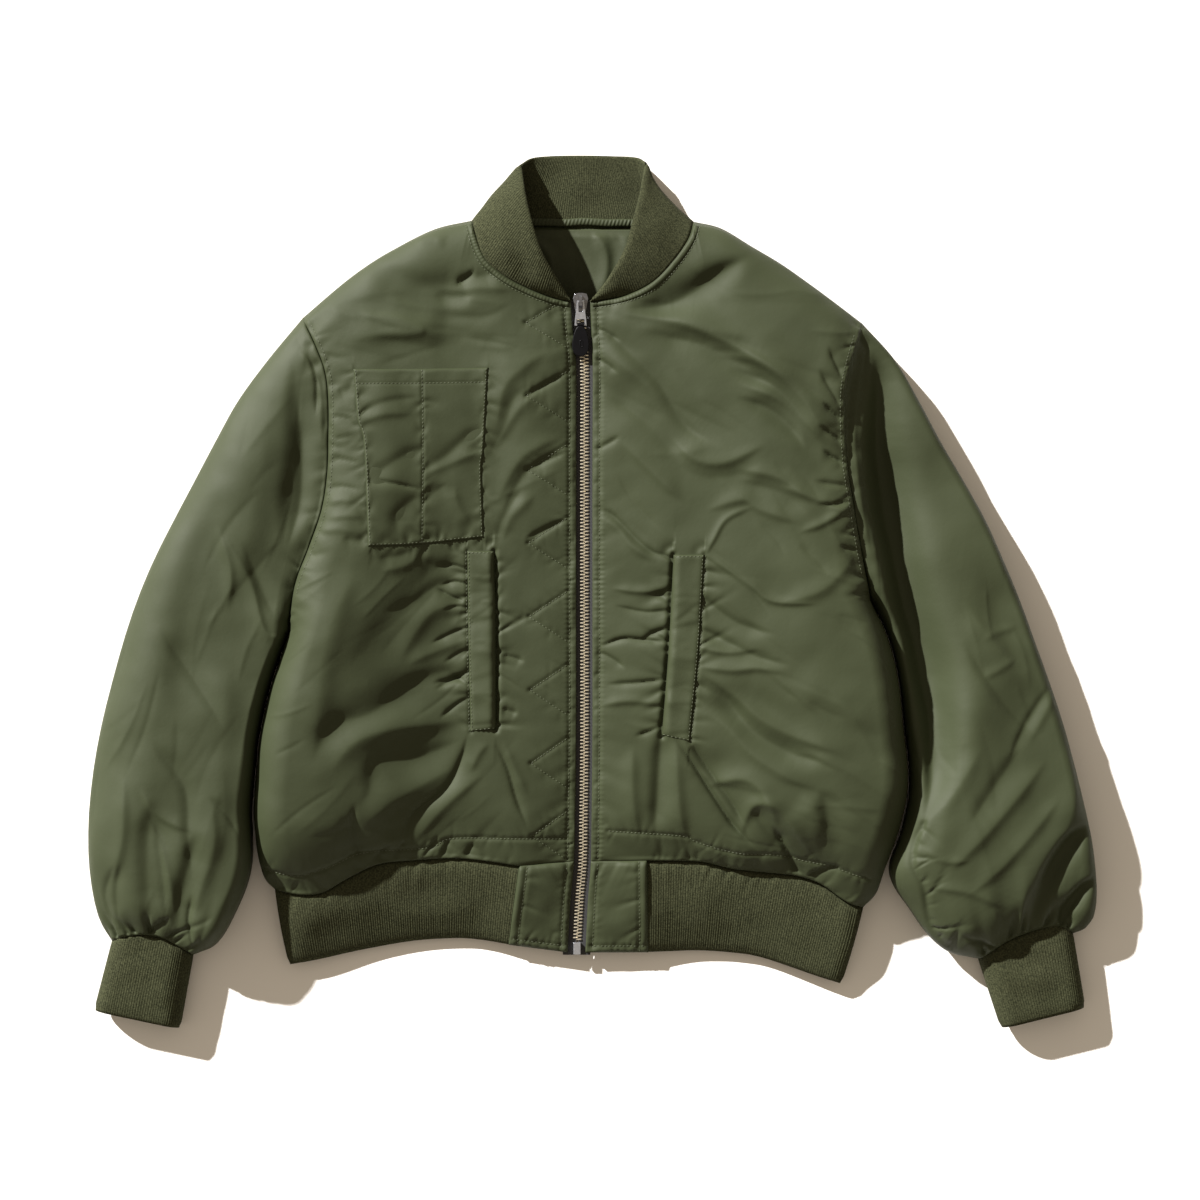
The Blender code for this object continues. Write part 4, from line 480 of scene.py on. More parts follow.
# What a sewn line does beside it: groove (depth, half width), puckers and gathers (height, reach
# out from the line, pitch along it, seed).
SEWN = {
    "armhole_right": {"puckers": (1.0, 14.0, 17.0, SEED + 2), "gathers": (1.0, 11.0, 9.0, SEED + 10)},
    "armhole_left": {"puckers": (1.0, 14.0, 17.0, SEED + 2), "gathers": (1.7, 11.0, 9.0, SEED + 10)},
    "hem": {"puckers": (0.8, 14.0, 17.0, SEED + 3), "gathers": (0.9, 9.0, 9.0, SEED + 11)},
    "hem_stitch": {"groove": (1.0, 2.2), "gathers": (0.6, 9.0, 9.0, SEED + 12)},
    "neck": {"puckers": (0.5, 12.0, 15.0, SEED + 5)},
    "placket": {"groove": (1.0, 2.0), "gathers": (0.9, 12.0, 11.0, SEED + 6)},
    "beyond_placket": {"puckers": (0.6, 16.0, 21.0, SEED + 13)},
    "zigzag": {"groove": (0.8, 2.0), "gathers": (0.5, 8.0, 10.0, SEED + 20)},
    "beside_pocket": {"gathers": (1.7, 11.0, 11.0, SEED + 9)},
    "welt_free": {"groove": (3.5, 2.6), "gathers": (2.0, 15.0, 12.0, SEED + 7)},
    "welt_sewn": {"groove": (1.0, 2.2), "gathers": (2.0, 15.0, 12.0, SEED + 8)},
    "sleeve_armhole": {"puckers": (0.7, 16.0, 24.0, SEED + 32), "gathers": (1.2, 10.0, 14.0, SEED + 34)},
    "sleeve_cuff": {"puckers": (2.2, 26.0, 20.0, SEED + 33), "gathers": (4.0, 20.0, 10.0, SEED + 35)},
    "sleeve_gather": {"groove": (2.2, 3.0), "gathers": (1.8, 13.0, 8.0, SEED + 37)},
    "pocket_divider": {"groove": (0.8, 1.3), "gathers": (1.5, 9.0, 14.0, SEED + 60)},
    "pocket_edge": {"gathers": (1.4, 9.0, 13.0, SEED + 64)},
    "pocket_hem": {"groove": (0.5, 1.1), "puckers": (0.5, 9.0, 14.0, SEED + 62)},
    "tab_top": {"puckers": (1.1, 12.0, 10.0, SEED + 81)},
    "tab_strip": {"groove": (1.1, 2.0), "gathers": (1.2, 12.0, 11.0, SEED + 82)},
    "tab_foot": {"groove": (1.3, 1.6), "gathers": (1.4, 6.0, 6.0, SEED + 83)},
    "tab_placket": {"groove": (1.2, 1.6), "gathers": (0.8, 5.0, 5.0, SEED + 84)},
    "band_right": {"puckers": (0.8, 9.0, 12.0, SEED + 41)},
    "band_left": {"puckers": (0.8, 9.0, 12.0, SEED + 42)},
    "lining_seam": {"puckers": (0.6, 12.0, 9.0, SEED + 91)},
}
# Soft uneven waves of a piece: height, wave length, seed.
RIPPLES = {
    "front": [(0.8, 70.0, SEED), (0.12, 26.0, SEED + 1)],
    "sleeve": [(0.9, 80.0, SEED + 30), (0.12, 28.0, SEED + 31)],
    "hem_band": [(0.7, 46.0, SEED + 40)],
    "collar": [(0.5, 34.0, SEED + 44)],
    "cuff": [(0.8, 40.0, SEED + 50)],
    "pocket": [(0.5, 40.0, SEED + 63)],
    "welt": [(0.25, 30.0, SEED + 71)],
    "hem_tab": [(0.6, 26.0, SEED + 80)],
    "lining": [(0.5, 60.0, SEED + 90)],
}
# Faint creases of the fronts: number, stretch in X and in Y, heading at a place, seed, height.
FRONT_WRINKLES = {
    "right": [(26, ((-285, -80), (-240, 30)), lambda x, y: 0.62, SEED + 100, 0.5),
              (20, ((-240, -40), (40, 290)), lambda x, y: 0.25 + 0.002 * x, SEED + 101, 0.5)],
    "left": [(34, ((60, 285), (-245, 20)), lambda x, y: -0.50, SEED + 102, 0.6),
             (34, ((15, 245), (20, 300)), lambda x, y: -0.60 + 0.003 * (y - 150), SEED + 103, 0.6)],
}

SLEEVE_WRINKLES = {"count": 44, "heading": 1.25, "height": 0.5}
WELT_WRINKLES = {"count": 12, "heading": 0.1, "height": 0.7}

# Shape of a fold: its reach in half widths, the share of its length in which it fades, the width of
# its ends, how much steeper its lee side is. Spans of a wrinkle's and of a gather's random sizes.
FOLD = {"reach": 3.2, "fade": 0.30, "end_width": 0.45, "steeper": 0.3}
WRINKLE = {"length": (35.0, 110.0), "bow": (-0.06, 0.06), "width": (2.4, 7.0), "height": (0.4, 1.2)}
GATHER = {"length": (0.4, 1.7), "width": (0.14, 0.30), "slant": (-0.7, 0.7), "depth": (0.3, 1.2),
          "step": (0.5, 1.7)}

# Coarse grids of the panels: stretches across and down (end, cells, how much they crowd), and how
# many parts each cell is then cut into.
GRIDS = {
    "front": {"across": ((SHOULDER_SHARE, 20, 0.5), (1, 14, 0.3)),
              "down": ((ARMHOLE_SHARE, 22, 0.4), (1, 24, 0.4)), "parts": (6, 8)},
    "back": {"across": ((BACK_TOP[0], 10, 0.4), (BACK_TOP[1], 10, 0.4), (1, 10, 0.4)),
             "down": ((ARMHOLE_SHARE, 16, 0.4), (1, 16, 0.4)), "parts": (4, 4)},
    "sleeve_top": {"across": ((1, 20, 0.5),), "down": ((1, 34, 0.35),), "parts": (6, 10)},
    "sleeve_under": {"across": ((1, 16, 0.5),), "down": ((1, 28, 0.35),), "parts": (4, 4)},
}
# Widths in which creases and the relief of sewn lines fade out at a panel's edges, and how many
# times narrower the creases' one is at the left, right, top and bottom edge.
FADES = {"front": {"creases": 9.0, "sewn": 2.5, "narrower": (1.0, 1.6, 1.0, 2.0)},
         "sleeve": {"creases": 9.0, "sewn": 3.0, "narrower": (1.0, 1.0, 1.5, 2.0)}}

# Studio, in metres: the sun and the way it shines, the sky, the floor and the camera.
SUN = {"energy": 11.0, "angle": 1.2, "colour": (1.0, 0.975, 0.94), "way": (0.715, -0.70, -0.477)}
SKY = {"colour": (1.0, 0.84, 0.64, 1.0), "strength": 0.42}
FLOOR = {"half": 6.0, "z": -0.0003}
CAMERA = {"lens": 85.0, "sensor": 36.0, "width": 1.080, "x": 0.0108, "y": -0.0054, "middle_z": 0.028}


# ---- Lines ------------------------------------------------------------------------
def spline(points, steps=10):
    """A dense smooth line through the points."""
    p = np.array(points, dtype=float)
    p = np.vstack([2 * p[0] - p[1], p, 2 * p[-1] - p[-2]])
    t = np.linspace(0.0, 1.0, steps, endpoint=False)[:, None]
    spans = [0.5 * (2 * b + (c - a) * t + (2 * a - 5 * b + 4 * c - d) * t**2
                    + (3 * b - a - 3 * c + d) * t**3)
             for a, b, c, d in zip(p, p[1:], p[2:], p[3:])]
    return np.vstack(spans + [p[-2:-1]])


def travel(line):
    """Length in plan from the start of a line to each of its points."""
    steps = np.linalg.norm(np.diff(line[:, :2], axis=0), axis=1)
    return np.concatenate([[0.0], np.cumsum(steps)])


def at_length(line, lengths):
    """Points of a line at the given lengths from its start."""
    s = travel(line)
    return np.stack([np.interp(lengths, s, column) for column in line.T], axis=1)


def sample(points, shares):
    """Points at shares of the length of the smooth line through the points."""
    line = spline(points)
    return at_length(line, np.asarray(shares) * travel(line)[-1])


def crowded(cells, pull):
    """Shares that crowd towards both ends, the more so the nearer pull is to 1."""
    share = np.arange(cells + 1) / cells
    return (1.0 - pull) * share + pull * (0.5 - 0.5 * np.cos(math.pi * share))


def dome(distance, reach, power=0.5):
    """A round rise from 0 at an edge to 1 at the reach."""
    left = np.clip(1.0 - np.asarray(distance, dtype=float) / reach, 0.0, 1.0)
    return (1.0 - left**2) ** power


def ease(x):
    """A soft step from 0 to 1."""
    x = np.clip(x, 0.0, 1.0)
    return x * x * (3.0 - 2.0 * x)


def unit(vectors):
    """The vectors made one long."""
    return vectors / (np.linalg.norm(vectors, axis=-1, keepdims=True) + 1e-12)


def shift(line, distance):
    """The line moved sideways in plan, to its left where the distance is plus."""
    tangent = unit(np.gradient(line[:, :2], axis=0))
    moved = line.copy()
    moved[:, :2] += distance * np.stack([-tangent[:, 1], tangent[:, 0]], axis=1)
    return moved


def locate(line, x, y):
    """Length along a line and signed distance from it (left is plus) of points in plan."""
    start, step = line[:-1, :2], np.diff(line[:, :2], axis=0)
    size = np.linalg.norm(step, axis=1)
    s0 = travel(line)[:-1]
    best, length, side = np.full(x.shape, 1e9), np.zeros(x.shape), np.ones(x.shape)
    for k in range(len(start)):
        dx, dy = x - start[k, 0], y - start[k, 1]
        share = np.clip((dx * step[k, 0] + dy * step[k, 1]) / size[k] ** 2, 0.0, 1.0)
        gap = np.hypot(dx - share * step[k, 0], dy - share * step[k, 1])
        closer = gap < best
        best = np.where(closer, gap, best)
        length = np.where(closer, s0[k] + share * size[k], length)
        side = np.where(closer, np.sign(step[k, 0] * dy - step[k, 1] * dx), side)
    return length, best * side


# ---- Relief -------------------------------------------------------------------------
def folds(table, x, y, crisp=0.0, steepest=None):
    """Height that the listed folds add at points in plan; crisp ones have a sharper crest.

    Each fold narrows to its ends, and is steeper on the side that LEAN points to. With
    steepest, a round fold is no higher than that share of its half width.
    """
    z = np.zeros_like(x)
    for height, width, sharp, points in table:
        line = spline(points, steps=5)
        reach = FOLD["reach"] * width
        low, high = line.min(axis=0) - reach, line.max(axis=0) + reach
        near = (x > low[0]) & (x < high[0]) & (y > low[1]) & (y < high[1])
        if not near.any():
            continue
        along, across = locate(line, x[near], y[near])
        share = along / travel(line)[-1]
        fade = ease(np.minimum(share, 1.0 - share) / FOLD["fade"])
        run = line[-1] - line[0]
        lee = np.sign(across) * np.sign(run[0] * LEAN[1] - run[1] * LEAN[0]) * np.sign(height)
        thin = FOLD["end_width"] + (1.0 - FOLD["end_width"]) * fade
        q = across / (width * thin * (1.0 - FOLD["steeper"] * lee))
        pointed = np.exp(-1.5 * (np.sqrt(q * q + 0.03) - 0.17))
        share = 1.0 if sharp else crisp
        profile = share * pointed + (1.0 - share) * np.exp(-q * q)
        if steepest and not sharp:
            height = math.copysign(min(abs(height), steepest * width), height)
        z[near] += height * fade * profile
    return z


def ripple(x, y, scale, seed, waves=26):
    """Smooth uneven waves of about the given length, from -1 to 1 or a little more."""
    random = np.random.default_rng(seed)
    z = np.zeros_like(x)
    for _ in range(waves):
        angle = random.uniform(0.0, 2.0 * math.pi)
        size = 2.0 * math.pi / (scale * random.uniform(0.7, 1.6))
        z += np.sin(size * (x * math.cos(angle) + y * math.sin(angle)) + random.uniform(0, 2 * math.pi))
    return z / math.sqrt(waves)


def ripples(kind, x, y):
    """The waves that RIPPLES lists for a kind of piece."""
    return sum(height * ripple(x, y, scale, seed) for height, scale, seed in RIPPLES[kind])


def puckers(line, x, y, height, reach, pitch, seed, slant=0.5):
    """Small gathers that run out from a sewn line and fade over the reach."""
    random = np.random.default_rng(seed)
    along, across = locate(line, x, y)
    gap = np.abs(across)
    fade = np.exp(-gap / reach) * (1.0 - np.exp(-gap / 1.6))
    z = np.zeros_like(x)
    s = along + slant * gap * np.sin(along / (4.0 * pitch) + seed)
    for _ in range(9):
        size = 2.0 * math.pi / (pitch * random.uniform(0.65, 2.0))
        z += np.sin(size * s + random.uniform(0, 2 * math.pi))
    z /= 3.0
    swell = 0.55 + 0.45 * np.sin(along / (5.0 * pitch) + 2.0 * seed) * np.sin(along / (2.3 * pitch) + seed)
    return height * swell * fade * np.where(z > 0, z, 1.3 * z)


def wrinkles(x, y, count, area, heading, seed, height=0.5, spread=0.22):
    """Many faint creases that mostly follow the heading, an angle that may vary in plan."""
    random = np.random.default_rng(seed)
    (x0, x1), (y0, y1) = area
    table = []
    for _ in range(count):
        px, py = random.uniform(x0, x1), random.uniform(y0, y1)
        angle = heading(px, py) + random.normal(0.0, spread)
        length, bow = random.uniform(*WRINKLE["length"]), random.uniform(*WRINKLE["bow"])
        run = np.array([math.cos(angle), math.sin(angle)]) * length / 2
        middle = np.array([px, py]) + bow * length * np.array([-math.sin(angle), math.cos(angle)])
        points = [(px - run[0], py - run[1]), tuple(middle), (px + run[0], py + run[1])]
        width = random.uniform(*WRINKLE["width"])
        size = height * random.uniform(*WRINKLE["height"]) * random.choice([-1.0, 1.0])
        table.append((size, width, 0, points))
    return folds(table, x, y, crisp=0.6)


def gathers(line, x, y, depth, reach, pitch, seed, sides=(-1.0, 1.0)):
    """Short uneven creases that run out from a sewn line; left of the line is the plus side."""
    random = np.random.default_rng(seed)
    out = np.zeros_like(x)
    low, high = line.min(axis=0) - 3.0 * reach, line.max(axis=0) + 3.0 * reach
    near = (x > low[0]) & (x < high[0]) & (y > low[1]) & (y < high[1])
    along, across = locate(line, x[near], y[near])
    gap, whole = np.abs(across), travel(line)[-1]
    z = np.zeros(gap.shape)
    for side in sides:
        here = (across * side > 0.0) & (gap < 3.0 * reach)
        s, g = along[here], gap[here]
        dip = 0.3 * depth * np.exp(-g / reach)
        spot = random.uniform(0.0, pitch)
        while spot < whole:
            length = reach * random.uniform(*GATHER["length"])
            width = pitch * random.uniform(*GATHER["width"])
            slant = random.uniform(*GATHER["slant"])
            size = depth * random.uniform(*GATHER["depth"])
            offset = (s - spot - slant * g) / (width * (0.7 + 1.2 * g / length))
            dip -= size * np.exp(-offset**2 - (g / length) ** 2)
            spot += pitch * random.uniform(*GATHER["step"])
        z[here] = dip * (1.0 - np.exp(-g / 0.8))
    out[near] = z
    return out


def groove(line, x, y, depth, width):
    """A sewn line that draws the padding down."""
    _, across = locate(line, x, y)
    return -depth * np.exp(-(across / width) ** 2)


def sewn(kind, line, x, y, sides=(-1.0, 1.0), number=0):
    """The groove, puckers and gathers beside a sewn line; number tells lines of a kind apart."""
    z, has = np.zeros_like(x), SEWN[kind]
    if "groove" in has:
        z += groove(line, x, y, *has["groove"])
    if "puckers" in has:
        z += puckers(line, x, y, *has["puckers"])
    if "gathers" in has:
        *form, seed = has["gathers"]
        z += gathers(line, x, y, *form, seed + number, sides)
    return z


# ---- Grids ------------------------------------------------------------------------
def stretches(*parts):
    """Shares from 0 to 1 in stretches that crowd towards their ends; parts are (end, cells, pull)."""
    shares, start = [np.zeros(1)], 0.0
    for end, cells, pull in parts:
        shares.append(start + (end - start) * crowded(cells, pull)[1:])
        start = end
    return np.concatenate(shares)


def finer(shares, factor):
    """The shares with every step cut into factor steps."""
    spots = np.arange((len(shares) - 1) * factor + 1) / factor
    return np.interp(spots, np.arange(len(shares)), shares)


def finer_grid(grid, across, down):
    """The grid with every cell cut into across by down cells."""
    def cut(values, factor):
        spots = np.arange((len(values) - 1) * factor + 1) / factor
        low = np.minimum(spots.astype(int), len(values) - 2)
        share = (spots - low).reshape((-1,) + (1,) * (values.ndim - 1))
        return values[low] * (1 - share) + values[low + 1] * share
    return np.swapaxes(cut(np.swapaxes(cut(grid, across), 0, 1), down), 0, 1)


def blend_sides(left, right, top, bottom, u, v):
    """Grid [i][j] between four lines that meet at their corners."""
    s, t = u[:, None, None], v[None, :, None]
    corners = ((1 - s) * (1 - t) * top[0] + s * (1 - t) * top[-1]
               + (1 - s) * t * bottom[0] + s * t * bottom[-1])
    return (1 - s) * left[None] + s * right[None] + (1 - t) * top[:, None] + t * bottom[:, None] - corners


def fill(left, right, top, bottom, u, v, rounds=900):
    """Grid [i][j] spread evenly between four lines, with no cell folded over in plan."""
    grid = blend_sides(left, right, top, bottom, u, v)
    before, after = np.diff(u)[:-1, None, None], np.diff(u)[1:, None, None]
    above, below = np.diff(v)[None, :-1, None], np.diff(v)[None, 1:, None]
    for _ in range(rounds):
        mid = grid[1:-1, 1:-1]
        across = (grid[2:, 1:-1] - grid[:-2, 1:-1]) / (before + after)
        down = (grid[1:-1, 2:] - grid[1:-1, :-2]) / (above + below)
        twist = (grid[2:, 2:] - grid[2:, :-2] - grid[:-2, 2:] + grid[:-2, :-2])
        twist = twist / ((before + after) * (above + below))
        stretch = (across[..., :2] ** 2).sum(axis=2)[..., None]
        fall = (down[..., :2] ** 2).sum(axis=2)[..., None]
        slant = (across[..., :2] * down[..., :2]).sum(axis=2)[..., None]
        along = 2 / (before + after) * (grid[2:, 1:-1] / after + grid[:-2, 1:-1] / before)
        drop = 2 / (above + below) * (grid[1:-1, 2:] / below + grid[1:-1, :-2] / above)
        weight = fall * 2 / (before * after) + stretch * 2 / (above * below)
        goal = (fall * along + stretch * drop - 2 * slant * twist) / weight
        grid[1:-1, 1:-1] = mid + 0.8 * (goal - mid)
    return grid


def smooth_fill(edges, kind):
    """A fine grid between four lines that are given as functions of their shares, with its shares."""
    u, v = stretches(*GRIDS[kind]["across"]), stretches(*GRIDS[kind]["down"])
    across, down = GRIDS[kind]["parts"]
    left, right, top, bottom = (edge(share) for edge, share in zip(edges, (v, v, u, u)))
    grid = finer_grid(fill(left, right, top, bottom, u, v), across, down)
    u, v = finer(u, across), finer(v, down)
    grid[0], grid[-1] = edges[0](v), edges[1](v)
    grid[:, 0], grid[:, -1] = edges[2](u), edges[3](u)
    return grid, u, v


def edge_gap(grid, index, axis):
    """Distance in plan of each grid point from one edge column (axis 0) or row (axis 1)."""
    edge = grid[index][None] if axis == 0 else grid[:, index][:, None]
    return np.linalg.norm(grid[..., :2] - edge[..., :2], axis=2)


def edge_gaps(grid):
    """Distances in plan from a grid's left, right, top and bottom edge."""
    return [edge_gap(grid, 0, 0), edge_gap(grid, -1, 0), edge_gap(grid, 0, 1), edge_gap(grid, -1, 1)]


def normals_of(grid, upper):
    """Directions out of a grid's surface, which on the whole looks up or down."""
    normal = unit(np.cross(np.gradient(grid, axis=0), np.gradient(grid, axis=1)))
    facing = normal[..., 2].mean() > 0.0
    return normal if facing == upper else -normal


def add_relief(grid, relief, lift):
    """Push a grid's inner points out along its normals, which lean up by lift."""
    normal = unit(normals_of(grid, True) + (0.0, 0.0, lift))
    grid[1:-1, 1:-1] += (normal * relief[..., None])[1:-1, 1:-1]


# ---- Meshes -----------------------------------------------------------------------
def add_mesh(name, points, faces, uvs=None, sharp_angle=None):
    """A smooth-shaded object from points and flat coordinates in millimetres."""
    mesh = bpy.data.meshes.new(name)
    mesh.from_pydata((np.asarray(points, float) * MM).tolist(), [], faces)
    if uvs is not None:
        layer = mesh.uv_layers.new(name="UVMap")
        corner = np.zeros(len(mesh.loops), dtype=np.int32)
        mesh.loops.foreach_get("vertex_index", corner)
        layer.data.foreach_set("uv", (np.asarray(uvs, float) * MM)[corner].astype(np.float32).ravel())
    mesh.shade_smooth()
    if sharp_angle is not None:
        mesh.set_sharp_from_angle(angle=math.radians(sharp_angle))
    made = bpy.data.objects.new(name, mesh)
    bpy.context.collection.objects.link(made)
    return made


def flat_of(grid):
    """Flat coordinates of a grid, measured along its middle row and column."""
    u, v = (np.concatenate([[0.0], np.cumsum(np.linalg.norm(np.diff(line, axis=0), axis=1))])
            for line in (grid[:, grid.shape[1] // 2], grid[grid.shape[0] // 2]))
    return np.stack(np.meshgrid(u, v, indexing="ij"), axis=2)


def close_wall(name, outer, inner, steps, ring=False, backwards=False):
    """A closed wall; its inner grid has every so many columns and rows of the outer one."""
    columns, rows = outer.shape[:2]
    inner_columns, inner_rows = inner.shape[:2]
    across, down = steps
    spans, inner_spans = (columns, inner_columns) if ring else (columns - 1, inner_columns - 1)

    def out(i, j):
        return (i % columns) * rows + j

    def ins(i, j):
        return columns * rows + (i % inner_columns) * inner_rows + j

    faces = [(out(i, j), out(i + 1, j), out(i + 1, j + 1), out(i, j + 1))
             for i in range(spans) for j in range(rows - 1)]
    faces += [(ins(i, j), ins(i, j + 1), ins(i + 1, j + 1), ins(i + 1, j))
              for i in range(inner_spans) for j in range(inner_rows - 1)]
    for i in range(inner_spans):
        for j, k, flip in ((0, 0, False), (rows - 1, inner_rows - 1, True)):
            face = [out(i * across + n, j) for n in range(across, -1, -1)] + [ins(i, k), ins(i + 1, k)]
            faces.append(tuple(reversed(face)) if flip else tuple(face))
    for j in range(0 if ring else inner_rows - 1):
        for i, k, flip in ((0, 0, True), (columns - 1, inner_columns - 1, False)):
            face = [out(i, j * down + n) for n in range(down, -1, -1)] + [ins(k, j), ins(k, j + 1)]
            faces.append(tuple(reversed(face)) if flip else tuple(face))
    if backwards:
        faces = [tuple(reversed(face)) for face in faces]
    points = np.vstack([outer.reshape(-1, 3), inner.reshape(-1, 3)])
    flat = flat_of(outer)
    uvs = np.vstack([flat.reshape(-1, 2), flat[::across, ::down].reshape(-1, 2)[:inner_columns * inner_rows]])
    return add_mesh(name, points, faces, uvs)


def wall(name, outer, thickness, upper, coarse=2):
    """A closed wall: a fine outer grid, an inner one with coarse times larger cells."""
    normal = normals_of(outer, upper)
    inner = (outer - thickness * normal)[::coarse, ::coarse]
    i, j = outer.shape[0] // 2, outer.shape[1] // 2
    facing = np.cross(outer[i + 1, j] - outer[i, j], outer[i, j + 1] - outer[i, j])
    return close_wall(name, outer, inner, (coarse, coarse), backwards=normal[i, j] @ facing < 0.0)


def tree_of(grid):
    """A tree for finding the height of a grid's surface in plan."""
    columns, rows = grid.shape[:2]
    index = np.arange(columns * rows).reshape(columns, rows)
    faces = np.stack([index[:-1, :-1], index[1:, :-1], index[1:, 1:], index[:-1, 1:]], axis=2)
    return BVHTree.FromPolygons(grid.reshape(-1, 3).tolist(), faces.reshape(-1, 4).tolist())


def height_on(tree, x, y, above=200.0):
    """Height of the tree's surface under points in plan; outside it, of the nearest point."""
    flat = []
    down = Vector((0.0, 0.0, -1.0))
    for px, py in zip(np.ravel(x), np.ravel(y)):
        hit = tree.ray_cast(Vector((px, py, above)), down)[0]
        if hit is None:
            hit = tree.find_nearest(Vector((px, py, 40.0)))[0]
        flat.append(hit.z)
    return np.array(flat).reshape(np.shape(x))


def on_surface(tree, plan):
    """Points in plan with the height of the tree's surface."""
    return np.concatenate([plan, height_on(tree, plan[..., 0], plan[..., 1])[..., None]], axis=-1)


# ---- Panels -------------------------------------------------------------------------
ZIP_LINE = spline(ZIP, steps=12)[::-1]


def zip_at(y):
    """Centre, half width and height of the gap between the fronts."""
    return [np.interp(y, ZIP_LINE[:, 0], ZIP_LINE[:, k]) for k in (1, 2, 3)]


def zip_edge(side, y):
    """Points of a front's edge beside the zip."""
    centre, half, height = zip_at(y)
    return np.stack([centre + SIGN[side] * half, y, height], axis=1)


def placket_line(side, top, bottom, count):
    """The stitch line beside the zip, in plan."""
    levels = np.linspace(top, bottom, count)
    centre, half, _ = zip_at(levels)
    return np.column_stack([centre + SIGN[side] * (half + PLACKET), levels])


def two_lines(first, second, shares, split):
    """Points at shares of two lines that follow each other and meet at the split."""
    line = np.zeros((len(shares), 2))
    early = shares <= split
    line[early] = sample(first, shares[early] / split)
    line[~early] = sample(second, (shares[~early] - split) / (1.0 - split))
    return line


def seam_edge(points, shares, end, end_z, z):
    """A seam between two folds: end_z high at both ends, z high once it is the length end away."""
    whole = travel(spline(points))[-1]
    s = np.asarray(shares) * whole
    level = end_z + (z - end_z) * dome(s, end) * dome(whole - s, end)
    return np.column_stack([sample(points, shares), level])


def armhole_edge(side, shares, upper):
    """The armhole seam, over the top or on the underside."""
    end, z = (RISE["armhole_end"], ARMHOLE_Z) if upper else (CURL, 0.0)
    return seam_edge(OUTLINE[side]["armhole"], shares, end, FOLD_Z, z)


def cuff_seam(side, shares, upper):
    """The seam between sleeve and cuff."""
    end, z = (RISE["cuff_end"], CUFF_Z) if upper else (RISE["cuff_under"], 0.0)
    return seam_edge(OUTLINE[side]["cuff_seam"], shares, end, CUFF_FOLD_Z, z)


def back_edge(points, shares):
    """The back's neck or hem seam."""
    return seam_edge(points, shares, CURL, FOLD_Z, 0.0)


def body_side_line(side, v, upper):
    """The side of a front or of the back: the armhole, then the fold."""
    edge = np.zeros((len(v), 3))
    high = v <= ARMHOLE_SHARE
    edge[high] = armhole_edge(side, v[high] / ARMHOLE_SHARE, upper)
    fold = sample(OUTLINE[side]["side"], (v[~high] - ARMHOLE_SHARE) / (1.0 - ARMHOLE_SHARE))
    edge[~high] = np.column_stack([fold, np.full(len(fold), FOLD_Z)])
    return edge


def front_top_line(side, u):
    """Shoulder and neck of a front, from the armhole to the zip."""
    outline = OUTLINE[side]
    line = two_lines(outline["shoulder"], outline["neck"], u, SHOULDER_SHARE)
    whole = travel(spline(outline["neck"]))[-1]
    s = np.clip((u - SHOULDER_SHARE) / (1.0 - SHOULDER_SHARE), 0.0, 1.0) * whole
    end = RISE["neck_end"]
    z = FOLD_Z + (NECK_Z - FOLD_Z) * dome(s, end)
    z += (zip_at(ZIP_TOP)[2] - NECK_Z) * ease((s - end) / (whole - end))
    return np.column_stack([line, z])


def front_hem_line(side, u):
    """Hem seam of a front, from the side to the zip."""
    outline = OUTLINE[side]
    line = two_lines(outline["hem"], outline["hem_tab"], u, TAB_SHARE)
    s = np.clip(u / TAB_SHARE, 0.0, 1.0) * travel(spline(outline["hem"]))[-1]
    z = FOLD_Z + (HEM_Z - FOLD_Z) * dome(s, RISE["hem_end"])
    z += (zip_at(ZIP_HEM)[2] - HEM_Z) * ease((u - TAB_SHARE) / (1.0 - TAB_SHARE))
    return np.column_stack([line, z])


def front_zip_line(side, v):
    """Edge of a front at the zip; it starts and ends on the top and hem lines."""
    edge = zip_edge(side, ZIP_TOP + v * (ZIP_HEM - ZIP_TOP))
    edge[0] = front_top_line(side, np.ones(1))[0]
    edge[-1] = front_hem_line(side, np.ones(1))[0]
    return edge


def zigzag_legs():
    """The quilting lines beside the zip, each as two points."""
    legs = []
    for k in range(ZIGZAG["count"]):
        y = ZIGZAG["first_y"] - k * ZIGZAG["pitch"]
        x = ZIGZAG["apex_x"] + k * ZIGZAG["drift"]
        for turn in (1.0, -1.0):
            legs.append(np.array([(x, y), (ZIGZAG["end_x"], y + turn * ZIGZAG["half"])]))
    return legs


def front_surface(side):
    """Fine outer points of a front, from side to zip and from shoulder to hem."""
    edges = [lambda t: body_side_line(side, t, upper=True), lambda t: front_zip_line(side, t),
             lambda t: front_top_line(side, t), lambda t: front_hem_line(side, t)]
    grid, u, _ = smooth_fill(edges, "front")
    x, y = grid[..., 0], grid[..., 1]
    heights = spline(FRONT_SECTIONS[side][::-1], 12)
    crown, middle = (np.interp(y, heights[:, 0], heights[:, k]) for k in (1, 2))
    target = crown + (middle - crown) * ease((u[:, None] - CROWN_SHARE[side]) / SLOPE_SHARE[side])
    target += folds(FRONT_FOLDS[side], x, y)
    gaps = edge_gaps(grid)
    rise = (dome(gaps[0], SIDE_RISE[side]) * dome(gaps[1], RISE["front_zip"], ZIP_RISE_POWER)
            * dome(gaps[2], RISE["front_top"]) * dome(gaps[3], RISE["front_hem"], HEM_RISE_POWER))
    grid[..., 2] += (target - grid[..., 2]) * rise

    creases = 0.9 * folds(FRONT_CREASES[side], x, y, 0.3, STEEPEST[side]) + ripples("front", x, y)
    creases += sum(wrinkles(x, y, *row) for row in FRONT_WRINKLES[side])
    add_relief(grid, faded("front", gaps, creases, sewn_relief(side, x, y)), lift=0.6)
    return grid


